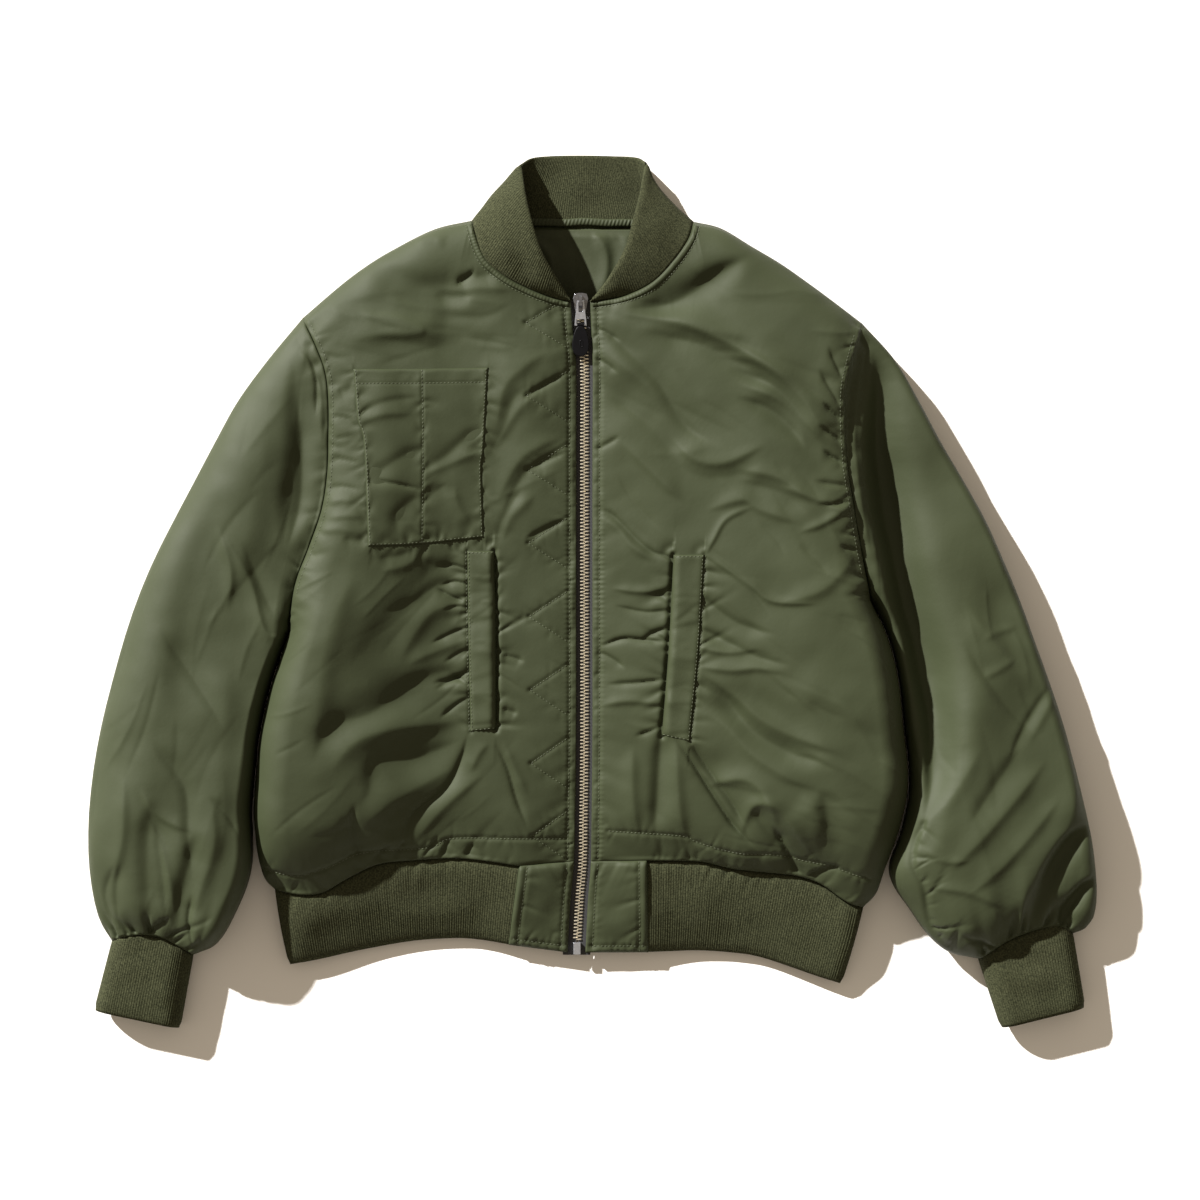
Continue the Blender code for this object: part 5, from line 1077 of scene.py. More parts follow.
def faded(kind, gaps, creases, seams):
    """A panel's relief, faded out at its edges as FADES says."""
    fade = FADES[kind]
    near = np.minimum.reduce([gap * times for gap, times in zip(gaps, fade["narrower"])])
    return creases * ease(near / fade["creases"]) + seams * ease(np.minimum.reduce(gaps) / fade["sewn"])


def sewn_relief(side, x, y):
    """Gathers and grooves along the lines that are sewn on a front."""
    outline = OUTLINE[side]
    z = sewn(f"armhole_{side}", spline(outline["armhole"]), x, y)
    z += sewn("hem", spline(outline["hem"]), x, y)
    z += sewn("hem_stitch", spline(HEM_STITCH[side], 5), x, y)
    z += sewn("neck", spline(outline["neck"]), x, y)
    placket = placket_line(side, ZIP_TOP, ZIP_HEM, 40)
    away = x - np.interp(y, placket[::-1, 1], placket[::-1, 0])
    z += sewn("placket", placket, x, y, sides=(-SIGN[side],))
    z += np.where(SIGN[side] * away > 0.0, sewn("beyond_placket", placket, x, y), 0.0)
    z += (ZIP_PUCKER["height"] * np.sin(2.0 * math.pi * y / ZIP_PUCKER["pitch"])
          * ease(1.4 - np.abs(away) / ZIP_PUCKER["reach"]))
    if side == "right":
        for number, leg in enumerate(zigzag_legs()):
            z += sewn("zigzag", leg, x, y, number=number)
        for name in POCKET_STITCH:
            z += sewn("beside_pocket", spline(POCKET[name], 5), x, y)
    z += sewn("welt_free", spline(WELT[side][side], 5), x, y)
    z += sewn("welt_sewn", spline(WELT[side][OTHER[side]], 5), x, y)
    return z


def sleeve_inner_line(side):
    """The fold beside the body: a small gap away from the body's fold, then on to the cuff."""
    beside = np.array(OUTLINE[side]["side"][:-4], dtype=float)
    beside[1:, 0] += SIGN[side] * SHELF
    reach = OUTLINE[side]["inner_end"][0][1] + 12.0
    return [tuple(point) for point in beside if point[1] > reach] + OUTLINE[side]["inner_end"]


def sleeve_fold_z(v):
    """Height of a sleeve's folds at shares of the way from armhole to cuff."""
    return FOLD_Z + (CUFF_FOLD_Z - FOLD_Z) * ease((v - CUFF_TAPER) / (1.0 - CUFF_TAPER))


def sleeve_side_line(points, v):
    """A sleeve's outer or inner fold."""
    return np.column_stack([sample(points, v), sleeve_fold_z(v)])


def sleeve_surface(side, upper):
    """Fine outer points of a sleeve panel, from outer to inner fold and armhole to cuff."""
    edges = [lambda t: sleeve_side_line(OUTLINE[side]["outer"], t),
             lambda t: sleeve_side_line(sleeve_inner_line(side), t),
             lambda t: armhole_edge(side, t, upper), lambda t: cuff_seam(side, t, upper)]
    grid, u, v = smooth_fill(edges, "sleeve_top" if upper else "sleeve_under")
    x, y = grid[..., 0], grid[..., 1]
    gaps = edge_gaps(grid)
    if not upper:
        lie = dome(gaps[0], CURL) * dome(gaps[1], CURL)
        level = sleeve_fold_z(v)[None, :] * (1.0 - lie)
        level += folds(UNDER_SLEEVE_CREASES[side], x, y) * ease(np.minimum(*gaps[:2]) / 20.0)
        grid[1:-1, 1:-1, 2] = level[1:-1, 1:-1]
        return grid
    table = spline(SLEEVE_SECTIONS[side], 12)
    target = np.tile(np.interp(v, table[:, 0], table[:, 1]), (len(u), 1))
    target += folds(SLEEVE_FOLDS[side], x, y)
    target -= SLEEVE_TILT[side] * ease(1.0 - u / 0.7)[:, None]
    rise = dome(gaps[2], RISE["sleeve_ends"]) * dome(gaps[3], RISE["sleeve_ends"])
    for gap, reach, power in zip(gaps, SLEEVE_RISE[side], SLEEVE_EDGE_POWER[side]):
        rise *= dome(gap, reach, power)
    grid[..., 2] += (target - grid[..., 2]) * rise

    outline = OUTLINE[side]
    creases = folds(SLEEVE_CREASES[side], x, y, 0.3, STEEPEST["sleeve"]) + ripples("sleeve", x, y)
    outermost = min(point[0] for point in outline["outer"])
    area = ((min(outermost, x.min()), x.max()), (y.min() + 15.0, y.max() - 10.0))
    creases += wrinkles(x, y, SLEEVE_WRINKLES["count"], area,
                        lambda px, py: -SIGN[side] * SLEEVE_WRINKLES["heading"], SEED + 36,
                        SLEEVE_WRINKLES["height"])
    if side == "left":
        creases += sewn("sleeve_gather", spline(SLEEVE_GATHER, 5), x, y, sides=(1.0,))
    seams = sewn("sleeve_armhole", spline(outline["armhole"]), x, y)
    seams += sewn("sleeve_cuff", spline(outline["cuff_seam"]), x, y)
    add_relief(grid, faded("sleeve", gaps, creases, seams), lift=0.5)
    return grid


def back_top_line(u):
    """Right shoulder, neck and left shoulder of the back."""
    start, end = BACK_TOP
    line = np.zeros((len(u), 3))
    right, left = u < start, u > end
    middle = ~(right | left)
    line[right, :2] = sample(OUTLINE["right"]["shoulder"], u[right] / start)
    line[left, :2] = sample(OUTLINE["left"]["shoulder"], (1.0 - u[left]) / (1.0 - end))
    line[right | left, 2] = FOLD_Z
    line[middle] = back_edge(BACK_NECK, (u[middle] - start) / (end - start))
    return line


def back_surface():
    """Fine outer (lower) points of the back, from right to left and from top to hem."""
    edges = [lambda t: body_side_line("right", t, upper=False),
             lambda t: body_side_line("left", t, upper=False),
             back_top_line, lambda t: back_edge(BACK_HEM, t)]
    grid = smooth_fill(edges, "back")[0]
    x, y = grid[..., 0], grid[..., 1]
    lie = np.ones(x.shape)
    for side in SIDES:
        for name in ("shoulder", "side"):
            lie *= dome(np.abs(locate(spline(OUTLINE[side][name], 4), x, y)[1]), CURL)
    level = FOLD_Z * (1.0 - lie) + folds(BACK_CREASES, x, y) * lie
    grid[1:-1, 1:-1, 2] = level[1:-1, 1:-1]
    return grid


# ---- Knitted bands ------------------------------------------------------------------
def band_surface(parts, rows, swell, waist=None):
    """Fine outer points of a band folded round the jacket; parts are (seam, free edge, upper).

    Also their outward directions, and how far the band swells out between its edges.
    """
    down = (np.arange(rows + 1) / rows)[None, :, None]
    pieces, levels = [], []
    for number, (seam_line, free_points, upper) in enumerate(parts):
        length = travel(seam_line)[-1]
        count = 4 * max(2, round(length / RIB_PITCH))
        shares = np.arange(count + 1) / count
        seam = at_length(seam_line, shares * length)
        free = sample(free_points, shares)
        free[:, 2] = np.maximum(free[:, 2], 0.0)
        piece = seam[:, None] * (1 - down) + free[:, None] * down
        first = 0 if number == 0 else 1
        pieces.append(piece[first:])
        levels.append(np.full(len(piece) - first, swell if upper else 0.0))
    sides = (len(pieces[0]), len(pieces[0]) + len(pieces[1]) - 1)
    outer = np.concatenate(pieces)
    if waist:
        length = travel(outer[:, 0])
        for fold, amount in zip(sides, (waist["right"], -waist["left"])):
            apart = (length - length[fold]) / waist["reach"]
            outer[..., 0] += amount * np.exp(-apart**2)[:, None] * np.sin(math.pi * down[..., 0])
    level = np.convolve(np.pad(np.concatenate(levels), 6, mode="edge"), np.ones(13) / 13, mode="valid")
    normal = normals_of(outer, True)
    if normal[:8, :, 2].mean() < 0.0:
        normal = -normal
    return outer, normal, normal * np.sin(math.pi * down) * level[:, None, None]


def knit_wall(name, outer, normal, ring=False, step=4):
    """A ribbed, closed wall from outer points and their outward directions.

    Every step-th column is kept inside; with a step of 1 the ribs show there as well.
    """
    row = np.arange(outer.shape[1])
    to_end = outer.shape[1] - 1 - row
    fade = ease(row / 2.0) * ease(to_end / 1.5)
    ribs = RIB_DEPTH * np.cos(0.5 * math.pi * np.arange(len(outer)))[:, None] * fade[None, :]
    roll = RIB_ROLL * (1.0 - ease(to_end / 2.5))[None, :, None]
    surface = outer + normal * ribs[..., None] - normal * roll
    inner = outer - RIB * normal
    if step == 1:
        inner = inner - normal * ribs[..., None]
    made = close_wall(name, surface, inner[::step], (step, 1), ring)
    turn_outward(made)
    return made


def turn_outward(made):
    """Make the faces of a closed mesh point out."""
    mesh = made.data
    mesh.calc_loop_triangles()
    corner = np.zeros(len(mesh.loop_triangles) * 3, dtype=np.int32)
    mesh.loop_triangles.foreach_get("vertices", corner)
    spot = np.zeros(len(mesh.vertices) * 3)
    mesh.vertices.foreach_get("co", spot)
    a, b, c = spot.reshape(-1, 3)[corner.reshape(-1, 3)].transpose(1, 0, 2)
    if (a * np.cross(b, c)).sum() < 0.0:
        mesh.flip_normals()


def make_collar():
    right = front_top_line("right", np.linspace(1.0, SHOULDER_SHARE, 90))
    left = front_top_line("left", np.linspace(SHOULDER_SHARE, 1.0, 90))
    back = back_edge(BACK_NECK, np.linspace(0.0, 1.0, 90))
    parts = [(right, COLLAR_RIGHT, True), (back, COLLAR_BACK, False), (left, COLLAR_LEFT, True)]
    outer, normal, bulge = band_surface(parts, 26, COLLAR_SWELL, COLLAR_WAIST)
    rows = np.arange(outer.shape[1]) / (outer.shape[1] - 1)
    wave = ripples("collar", outer[..., 0], outer[..., 1]) * np.sin(math.pi * rows)
    return knit_wall("collar", outer + bulge + normal * wave[..., None], normal, step=1)


def make_hem_band():
    right = front_hem_line("right", np.linspace(TAB_SHARE, 0.0, 120))
    left = front_hem_line("left", np.linspace(0.0, TAB_SHARE, 120))
    back = back_edge(BACK_HEM, np.linspace(0.0, 1.0, 160))
    parts = [(right, RIB_RIGHT, True), (back, RIB_BACK, False), (left, RIB_LEFT, True)]
    outer, normal, bulge = band_surface(parts, 22, RIB_SWELL)
    outer = outer + bulge
    x, y = outer[..., 0], outer[..., 1]
    shape = np.sin(math.pi * np.arange(outer.shape[1]) / (outer.shape[1] - 1))
    relief = ripples("hem_band", x, y) * shape
    relief += sewn("band_right", right, x, y) + sewn("band_left", left, x, y)
    top = normal[..., 2] > 0.3
    outer = outer + normal * (relief * top)[..., None]
    fall = np.linalg.norm(outer - outer[:, :1], axis=2)
    outer[..., 2] -= RIB_DIP["depth"] * np.exp(-fall / RIB_DIP["reach"]) * top
    return knit_wall("hem_band", outer, normal), outer


def make_cuff(side):
    """A knitted tube: over the top from outer to inner, back underneath."""
    end = np.array(OUTLINE[side]["cuff_end"], dtype=float)
    count = 4 * CUFF_RIBS
    shares = crowded(count, 0.25)
    rings = []
    for upper in (True, False):
        seam = cuff_seam(side, shares, upper)
        share = travel(seam) / travel(seam)[-1]
        line = end[0] + (end[1] - end[0]) * share[:, None]
        s = travel(line)
        reach = dome(s, RISE["cuff_under"]) * dome(s[-1] - s, RISE["cuff_under"])
        level = CUFF_END_Z if upper else 0.0
        free = np.column_stack([line, CUFF_FOLD_Z + (level - CUFF_FOLD_Z) * reach])
        down = (np.arange(25) / 24)[None, :, None]
        outer = seam[:, None] * (1 - down) + free[:, None] * down
        if upper:
            bend = np.sin(math.pi * down[..., 0]) * np.sin(math.pi * share)[:, None]
            outer[..., 2] += bend * (CUFF_SWELL + ripples("cuff", outer[..., 0], outer[..., 1]))
        rings.append(outer)
    top, under = rings
    outer = np.concatenate([top, under[-2:0:-1]])
    round_it = np.roll(outer, -1, axis=0) - np.roll(outer, 1, axis=0)
    normal = unit(np.cross(round_it, np.gradient(outer, axis=1)))
    if ((outer - outer.mean(axis=0, keepdims=True)) * normal).sum() < 0.0:
        normal = -normal
    return knit_wall(f"cuff_{side}_knit", outer, normal, ring=True)


# ---- Pieces on the panels --------------------------------------------------------------
def patch_plan(sides, cells):
    """Points in plan of a patch between its four sides."""
    u, v = (np.arange(count + 1) / count for count in cells)
    top, bottom = (sample(sides[name], u) for name in ("top", "bottom"))
    left, right = (sample(sides[name], v) for name in ("left", "right"))
    return blend_sides(left, right, top, bottom, u, v)


def smoothed(z, cells):
    """Heights averaged over a window of so many cells each way."""
    for axis, size in enumerate(cells):
        pad = [(0, 0), (0, 0)]
        pad[axis] = (size, size)
        window = np.ones(2 * size + 1) / (2 * size + 1)
        z = np.apply_along_axis(lambda row: np.convolve(row, window, mode="valid"), axis,
                                np.pad(z, pad, mode="edge"))
    return z


def patch_surface(sides, cells, tree, lift, smooth=(1, 8)):
    """A patch that follows a panel and hugs it at its edges, with its distances from them."""
    plan = patch_plan(sides, cells)
    under = height_on(tree, plan[..., 0], plan[..., 1])
    z = np.maximum(smoothed(under, smooth), under - 0.5 * lift)
    gaps = dict(zip(("left", "right", "top", "bottom"), edge_gaps(plan)))
    z = z + lift * (0.35 + 0.65 * dome(np.minimum.reduce(list(gaps.values())), PATCH_ROLL))
    return np.concatenate([plan, z[..., None]], axis=2), gaps


def make_pocket(tree):
    grid, gaps = patch_surface(POCKET, (84, 108), tree, PATCH_LIFT["pocket"], smooth=(3, 3))
    x, y = grid[..., 0], grid[..., 1]
    relief = 0.8 * folds(POCKET_CREASES, x, y, 0.3, STEEPEST["pocket"])
    relief += sewn("pocket_divider", spline(POCKET_DIVIDER, 4), x, y)
    for number, name in enumerate(("left", "right", "bottom")):
        relief += sewn("pocket_edge", spline(POCKET[name], 4), x, y, number=number)
    relief += sewn("pocket_hem", spline(POCKET_HEM, 4), x, y) + ripples("pocket", x, y)
    near = np.minimum.reduce(list(gaps.values()))
    grid[..., 2] += relief * ease(near / 4.0) + 0.8 * ease(near / 25.0)
    return wall("pocket", grid, THICK["pocket"], True), grid


def make_welt(side, tree):
    """A hand pocket's welt, sewn at its outer edge and free towards the zip."""
    grid, gaps = patch_surface(WELT[side], (16, 108), tree, PATCH_LIFT["welt"])
    from_free, from_end = gaps[side], np.minimum(gaps["top"], gaps["bottom"])
    grid[..., 2] += WELT_LIFT[side] * ease(1.0 - from_free / from_free.max()) * dome(from_end, 14)
    x, y = grid[..., 0], grid[..., 1]
    area = ((x.min(), x.max()), (y.min(), y.max()))
    relief = wrinkles(x, y, WELT_WRINKLES["count"], area, lambda px, py: WELT_WRINKLES["heading"],
                      SEED + 72, WELT_WRINKLES["height"]) + ripples("welt", x, y)
    grid[..., 2] += relief * ease(np.minimum(gaps["left"], gaps["right"]) / 3.0)
    return wall(f"welt_{side}_cloth", grid, THICK["welt"], True), grid


def make_tab(side, band_end):
    """Nylon end of the hem band beside the zip, with its grid and two of its stitch lines."""
    u, v = np.arange(33) / 32, np.arange(49) / 48
    beside = at_length(band_end, v * travel(band_end)[-1])
    edge = zip_edge(side, ZIP_HEM + v * (TAB_END - ZIP_HEM))
    top = front_hem_line(side, TAB_SHARE + u * (1.0 - TAB_SHARE))
    top[0], edge[0] = beside[0], top[-1]
    bottom = beside[-1] + (edge[-1] - beside[-1]) * u[:, None]
    grid = blend_sides(beside, edge, top, bottom, u, v)
    x, y = grid[..., 0], grid[..., 1]
    near = np.minimum.reduce(edge_gaps(grid))
    inward = -SIGN[side]
    strip = beside[:, :2] + (inward * TAB_STRIP, 0.0)
    foot = bottom[2:-2, :2] + (0.0, TAB_FOOT)
    placket = edge[2:-2, :2] - (inward * PLACKET, 0.0)
    relief = 1.8 * dome(near, 7.0) + ripples("hem_tab", x, y) + sewn("tab_top", top, x, y)
    relief += sewn("tab_strip", strip, x, y, sides=(inward,))
    relief += sewn("tab_foot", foot, x, y) + sewn("tab_placket", placket, x, y)
    grid[..., 2] += relief * ease(near / 3.0)
    return wall(f"hem_tab_{side}_cloth", grid, CLOTH, True), grid, (strip, foot)


def make_binding(side, tree):
    """Narrow nylon binding that is stitched over the neck seam, on the front."""
    inner = front_top_line(side, np.linspace(SHOULDER_SHARE + 0.012, 0.995, 160))
    across = np.linspace(0.4, BINDING, 9)
    plan = np.stack([shift(inner, SIGN[side] * gap)[:, :2] for gap in across], axis=1)
    grid = on_surface(tree, plan)
    level = 1.3 * np.sin(math.pi * (across - across[0]) / (across[-1] - across[0])) ** 0.6
    wave = 0.16 * np.sin(2.0 * math.pi * travel(inner) / 2.9)
    grid[..., 2] += level[None, :] + wave[:, None] * (level[None, :] > 0.5) + 0.1
    return wall(f"neck_binding_{side}", grid, THICK["binding"], True), inner


def make_lining():
    """The stretch of lining that shows inside the neck, with its own soft creases."""
    corners = np.array(LINING_EDGE, dtype=float)
    u, v = (np.arange(97) / 96)[:, None, None], (np.arange(65) / 64)[None, :, None]
    plan = ((1 - u) * (1 - v) * corners[0] + u * (1 - v) * corners[1]
            + u * v * corners[2] + (1 - u) * v * corners[3])
    x, y = plan[..., 0], plan[..., 1]
    relief = 2.0 + ripples("lining", x, y) + sewn("lining_seam", np.array(LINING_SEAM), x, y)
    relief += folds(LINING_CREASES, x, y, crisp=0.3)
    near = np.minimum.reduce(edge_gaps(plan))
    z = LINING_Z + np.maximum(relief, 0.0) * ease(near / 8.0)
    return wall("lining", np.concatenate([plan, z[..., None]], axis=2), THICK["lining"], True)


def make_neck_tape():
    """The bound seam inside the back of the neck, gathered between two stitch lines."""
    across = np.linspace(0.0, NECK_TAPE["width"], 9)
    x, d = np.meshgrid(np.linspace(*NECK_TAPE["ends"], 241), across, indexing="ij")
    level = np.sin(math.pi * across / across[-1]) ** 0.5
    uneven = 1.0 + 0.5 * ripple(x, 0.0 * x, 14.0, SEED + 95)
    gather = NECK_TAPE["gather"] * uneven * np.sin(2.0 * math.pi * x / NECK_TAPE["pitch"] + 0.6 * d)
    z = NECK_TAPE["base"] + (NECK_TAPE["height"] + gather) * level[None, :]
    y = NECK_TAPE["top"] - d + 0.6 * ripple(x, 0.0 * x, 30.0, SEED + 96)
    return wall("neck_tape", np.stack([x, y, z], axis=2), THICK["neck_tape"], True)


# ---- Stitches, teeth and slot mark -------------------------------------------------------
def stitch_shape():
    """One stitch: a short rounded thread, along X."""
    half, width, height = STITCH["length"] / 2, STITCH["width"] / 2, STITCH["height"]
    points = [(-half, 0.0, -0.15), (half, 0.0, -0.15)]
    for x in (-half * 0.6, half * 0.6):
        for k in range(6):
            angle = 2.0 * math.pi * k / 6
            points.append((x, width * math.cos(angle), height * (0.35 + 0.65 * math.sin(angle))))
    faces = []
    for k in range(6):
        n = (k + 1) % 6
        faces += [(0, 2 + n, 2 + k), (1, 8 + k, 8 + n), (2 + k, 2 + n, 8 + n, 8 + k)]
    return np.array(points), faces


def make_stitches(name, rows):
    """Stitches along lines on a surface; rows are (line in plan, tree)."""
    shape, shape_faces = stitch_shape()
    points, faces, count = [], [], 0
    for line, tree in rows:
        line = np.asarray(line, dtype=float)[:, :2]
        whole = travel(line)[-1]
        number = max(2, int(whole / STITCH["pitch"]))
        middle = (np.arange(number) + 0.5) / number * whole
        behind, spots, ahead = (on_surface(tree, at_length(line, np.clip(middle + step, 0.0, whole)))
                                for step in (-1.0, 0.0, 1.0))
        for k in range(number):
            run = unit(ahead[k] - behind[k])
            side = unit(np.array([-run[1], run[0], 0.0]))
            points.append(shape @ np.stack([run, side, np.cross(run, side)]) + spots[k])
            faces += [tuple(count + n for n in face) for face in shape_faces]
            count += len(shape)
    return add_mesh(name, np.vstack(points), faces)


def tooth_shape(side):
    """One zip tooth: clamps the tape's edge and reaches over the centre line."""
    reach, cross, length, height = (TEETH[k] for k in ("reach", "cross", "length", "height"))
    sections = [(reach, 0.42, 0.30), (reach - 0.5, 0.5, 0.46), (1.0, 0.5, 0.5), (0.1, 0.36, 0.42),
                (-cross * 0.5, 0.5, 0.46), (-cross, 0.34, 0.3)]
    points, faces = [], []
    rim = ((-1, -0.6), (-0.6, -1), (0.6, -1), (1, -0.6), (1, 0.6), (0.6, 1), (-0.6, 1), (-1, 0.6))
    for across, half_y, half_z in sections:
        points += [(side * across, y * half_y * length, z * half_z * height) for y, z in rim]
    for k in range(len(sections) - 1):
        for n in range(8):
            m = (n + 1) % 8
            faces.append((8 * k + n, 8 * k + m, 8 * k + 8 + m, 8 * k + 8 + n))
    last = 8 * (len(sections) - 1)
    faces += [tuple(range(7, -1, -1)), tuple(last + n for n in range(8))]
    if side > 0:
        faces = [tuple(reversed(face)) for face in faces]
    return np.array(points), faces


def make_teeth():
    """Both rows of the zip's teeth; the left row sits half a pitch lower."""
    points, faces, count = [], [], 0
    number = int((TEETH_TOP - TEETH_END) / TEETH["pitch"])
    for side, lag in ((-1.0, 0.0), (1.0, 0.5)):
        shape, shape_faces = tooth_shape(side)
        for k in range(number):
            y = TEETH_TOP - (k + lag) * TEETH["pitch"]
            centre, _, height = zip_at(y)
            points.append(shape + (centre, y, height - TAPE_DROP + TEETH_LIFT))
            faces += [tuple(count + n for n in face) for face in shape_faces]
            count += len(shape)
    return add_mesh("zip_teeth", np.vstack(points), faces, sharp_angle=40.0)


def make_slot_mark():
    """A raised frame round the small slot in the zip's tab."""
    low, high = (np.array(corner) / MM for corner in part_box("zip_tab"))
    centre, top = (low + high) / 2, high[2]
    half, length, wire = SLOT_MARK["half"], SLOT_MARK["length"] / 2 - SLOT_MARK["half"], SLOT_MARK["wire"]
    turns, round_wire = 24, 8
    points = []
    for k in range(turns):
        angle = 2.0 * math.pi * (k + 0.5) / turns
        away = np.array([math.cos(angle), math.sin(angle), 0.0])
        spine = centre * (1, 1, 0) + half * away
        spine += (SLOT_MARK["aside"], SLOT_MARK["down"] + math.copysign(length, away[1]), top)
        for n in range(round_wire):
            bend = 2.0 * math.pi * n / round_wire
            points.append(spine + wire * (math.cos(bend) * away + (0.0, 0.0, math.sin(bend))))
    faces = [(round_wire * k + n, round_wire * k + (n + 1) % round_wire,
              round_wire * ((k + 1) % turns) + (n + 1) % round_wire, round_wire * ((k + 1) % turns) + n)
             for k in range(turns) for n in range(round_wire)]
    made = add_mesh("slot_mark", points, faces)
    turn_outward(made)
    return made


# ---- Materials -----------------------------------------------------------------------
class Nodes:
    """A small helper for building a material's node tree."""

    def __init__(self, name):
        self.material = bpy.data.materials.new(name)
        self.material.use_nodes = True
        self.tree = self.material.node_tree
        self.shader = self.tree.nodes["Principled BSDF"]

    def add(self, kind, inputs=None, **settings):
        node = self.tree.nodes.new(kind)
        for key, value in settings.items():
            setattr(node, key, value)
        for key, value in (inputs or {}).items():
            if isinstance(value, bpy.types.NodeSocket):
                self.tree.links.new(value, node.inputs[key])
            else:
                node.inputs[key].default_value = value
        return node

    def math(self, operation, a, b=0.0):
        return self.add("ShaderNodeMath", {0: a, 1: b}, operation=operation).outputs[0]

    def noise(self, vector, scale, detail=2.0, roughness=0.5):
        return self.add("ShaderNodeTexNoise", {"Vector": vector, "Scale": scale, "Detail": detail,
                                               "Roughness": roughness}).outputs["Fac"]

    def stretch(self, value, low, high):
        return self.add("ShaderNodeMapRange", {"Value": value, "To Min": low, "To Max": high}).outputs[0]

    def bump(self, height, strength, distance, below=None):
        inputs = {"Height": height, "Strength": strength, "Distance": distance}
        if below is not None:
            inputs["Normal"] = below
        return self.add("ShaderNodeBump", inputs).outputs["Normal"]

    def mix_colour(self, share, first, second):
        node = self.add("ShaderNodeMix", data_type="RGBA")
        self.tree.links.new(share, node.inputs["Factor"])
        node.inputs["A"].default_value = (*first, 1.0)
        node.inputs["B"].default_value = (*second, 1.0)
        return node.outputs["Result"]

    def set(self, **values):
        for key, value in values.items():
            socket = self.shader.inputs[key.replace("_", " ")]
            if isinstance(value, bpy.types.NodeSocket):
                self.tree.links.new(value, socket)
            else:
                socket.default_value = value


def nylon(name, dark, light, roughness=(0.57, 0.69)):
    """Flight nylon: a fine satin weave with a soft gloss and small crumples."""
    n = Nodes(name)
    place = n.add("ShaderNodeTexCoord")
    spot, flat = place.outputs["Object"], place.outputs["UV"]
    patch = n.noise(spot, 9.0, 3.0, 0.55)
    n.set(Base_Color=n.mix_colour(patch, dark, light), Roughness=n.stretch(n.noise(spot, 26.0), *roughness),
          Specular_IOR_Level=0.21)
    split = n.add("ShaderNodeSeparateXYZ", {0: flat})
    twill = n.math("SINE", n.math("MULTIPLY", n.math("ADD", split.outputs[0], split.outputs[1]), 9000.0))
    ribs = n.math("SINE", n.math("MULTIPLY", split.outputs[0], 12500.0))
    weave = n.bump(n.math("ADD", twill, ribs), 0.10, 0.0002)
    crumple = n.bump(n.noise(spot, 48.0, 4.0, 0.6), 0.20, 0.0014, weave)
    n.set(Normal=n.bump(n.noise(spot, 300.0, 2.0, 0.6), 0.16, 0.0003, crumple))
    return n.material


def knit(name, dark, light):
    """Fine ribbed knit: small stitches over the modelled ribs, mottled, with a little fuzz."""
    n = Nodes(name)
    place = n.add("ShaderNodeTexCoord")
    spot, flat = place.outputs["Object"], place.outputs["UV"]
    grain = n.stretch(n.noise(spot, 700.0, 2.0, 0.6), -0.9, 1.9)
    n.set(Base_Color=n.mix_colour(grain, dark, light), Roughness=0.92,
          Specular_IOR_Level=0.08)
    split = n.add("ShaderNodeSeparateXYZ", {0: flat})
    across = n.math("SINE", n.math("MULTIPLY", split.outputs[0], 2.0 * math.pi / 0.0013))
    row = n.math("SINE", n.math("MULTIPLY", split.outputs[1], 2.0 * math.pi / 0.0011))
    loops = n.bump(n.math("MULTIPLY", across, n.math("ADD", row, 2.0)), 0.22, 0.0003)
    n.set(Normal=n.bump(n.noise(spot, 1100.0, 2.0), 0.5, 0.0006, loops))
    return n.material


def tape(name):
    """Woven herringbone tape."""
    n = Nodes(name)
    split = n.add("ShaderNodeSeparateXYZ", {0: n.add("ShaderNodeTexCoord").outputs["Object"]})
    across = n.math("PINGPONG", n.math("MULTIPLY", split.outputs[0], 500.0), 1.0)
    slant = n.math("ADD", n.math("MULTIPLY", split.outputs[1], 900.0), across)
    row = n.math("SINE", n.math("MULTIPLY", slant, 2.0 * math.pi))
    share = n.math("MULTIPLY", n.math("ADD", row, 1.0), 0.5)
    n.set(Base_Color=n.mix_colour(share, (0.016, 0.017, 0.022), (0.050, 0.050, 0.052)),
          Roughness=0.85, Normal=n.bump(row, 0.4, 0.0003))
    return n.material


def metal(name, dark, light, roughness):
    """Plated metal with fine scratches, a little duller where it wears."""
    n = Nodes(name)
    spot = n.add("ShaderNodeTexCoord").outputs["Object"]
    wear = n.noise(spot, 420.0, 4.0, 0.65)
    stretched = n.add("ShaderNodeMapping", {"Vector": spot, "Scale": (1.0, 0.15, 1.0)}).outputs[0]
    n.set(Base_Color=n.mix_colour(wear, dark, light), Metallic=0.85,
          Roughness=n.stretch(wear, *roughness), Normal=n.bump(n.noise(stretched, 3000.0), 0.12, 0.0001))
    return n.material


def rubber(name):
    """Black moulding with a fine grain."""
    n = Nodes(name)
    spot = n.add("ShaderNodeTexCoord").outputs["Object"]
    grain = n.noise(spot, 1800.0, 3.0)
    n.set(Base_Color=n.mix_colour(n.noise(spot, 300.0), (0.002, 0.002, 0.0026), (0.004, 0.004, 0.005)),
          Roughness=n.stretch(grain, 0.30, 0.42), Specular_IOR_Level=0.14, Normal=n.bump(grain, 0.2, 0.0001))
    return n.material


def thread(name):
    """Olive sewing thread."""
    n = Nodes(name)
    spot = n.add("ShaderNodeTexCoord").outputs["Object"]
    n.set(Base_Color=n.mix_colour(n.noise(spot, 800.0), (0.036, 0.044, 0.021), (0.068, 0.080, 0.042)),
          Roughness=0.55, Normal=n.bump(n.noise(spot, 4000.0), 0.4, 0.0001))
    return n.material


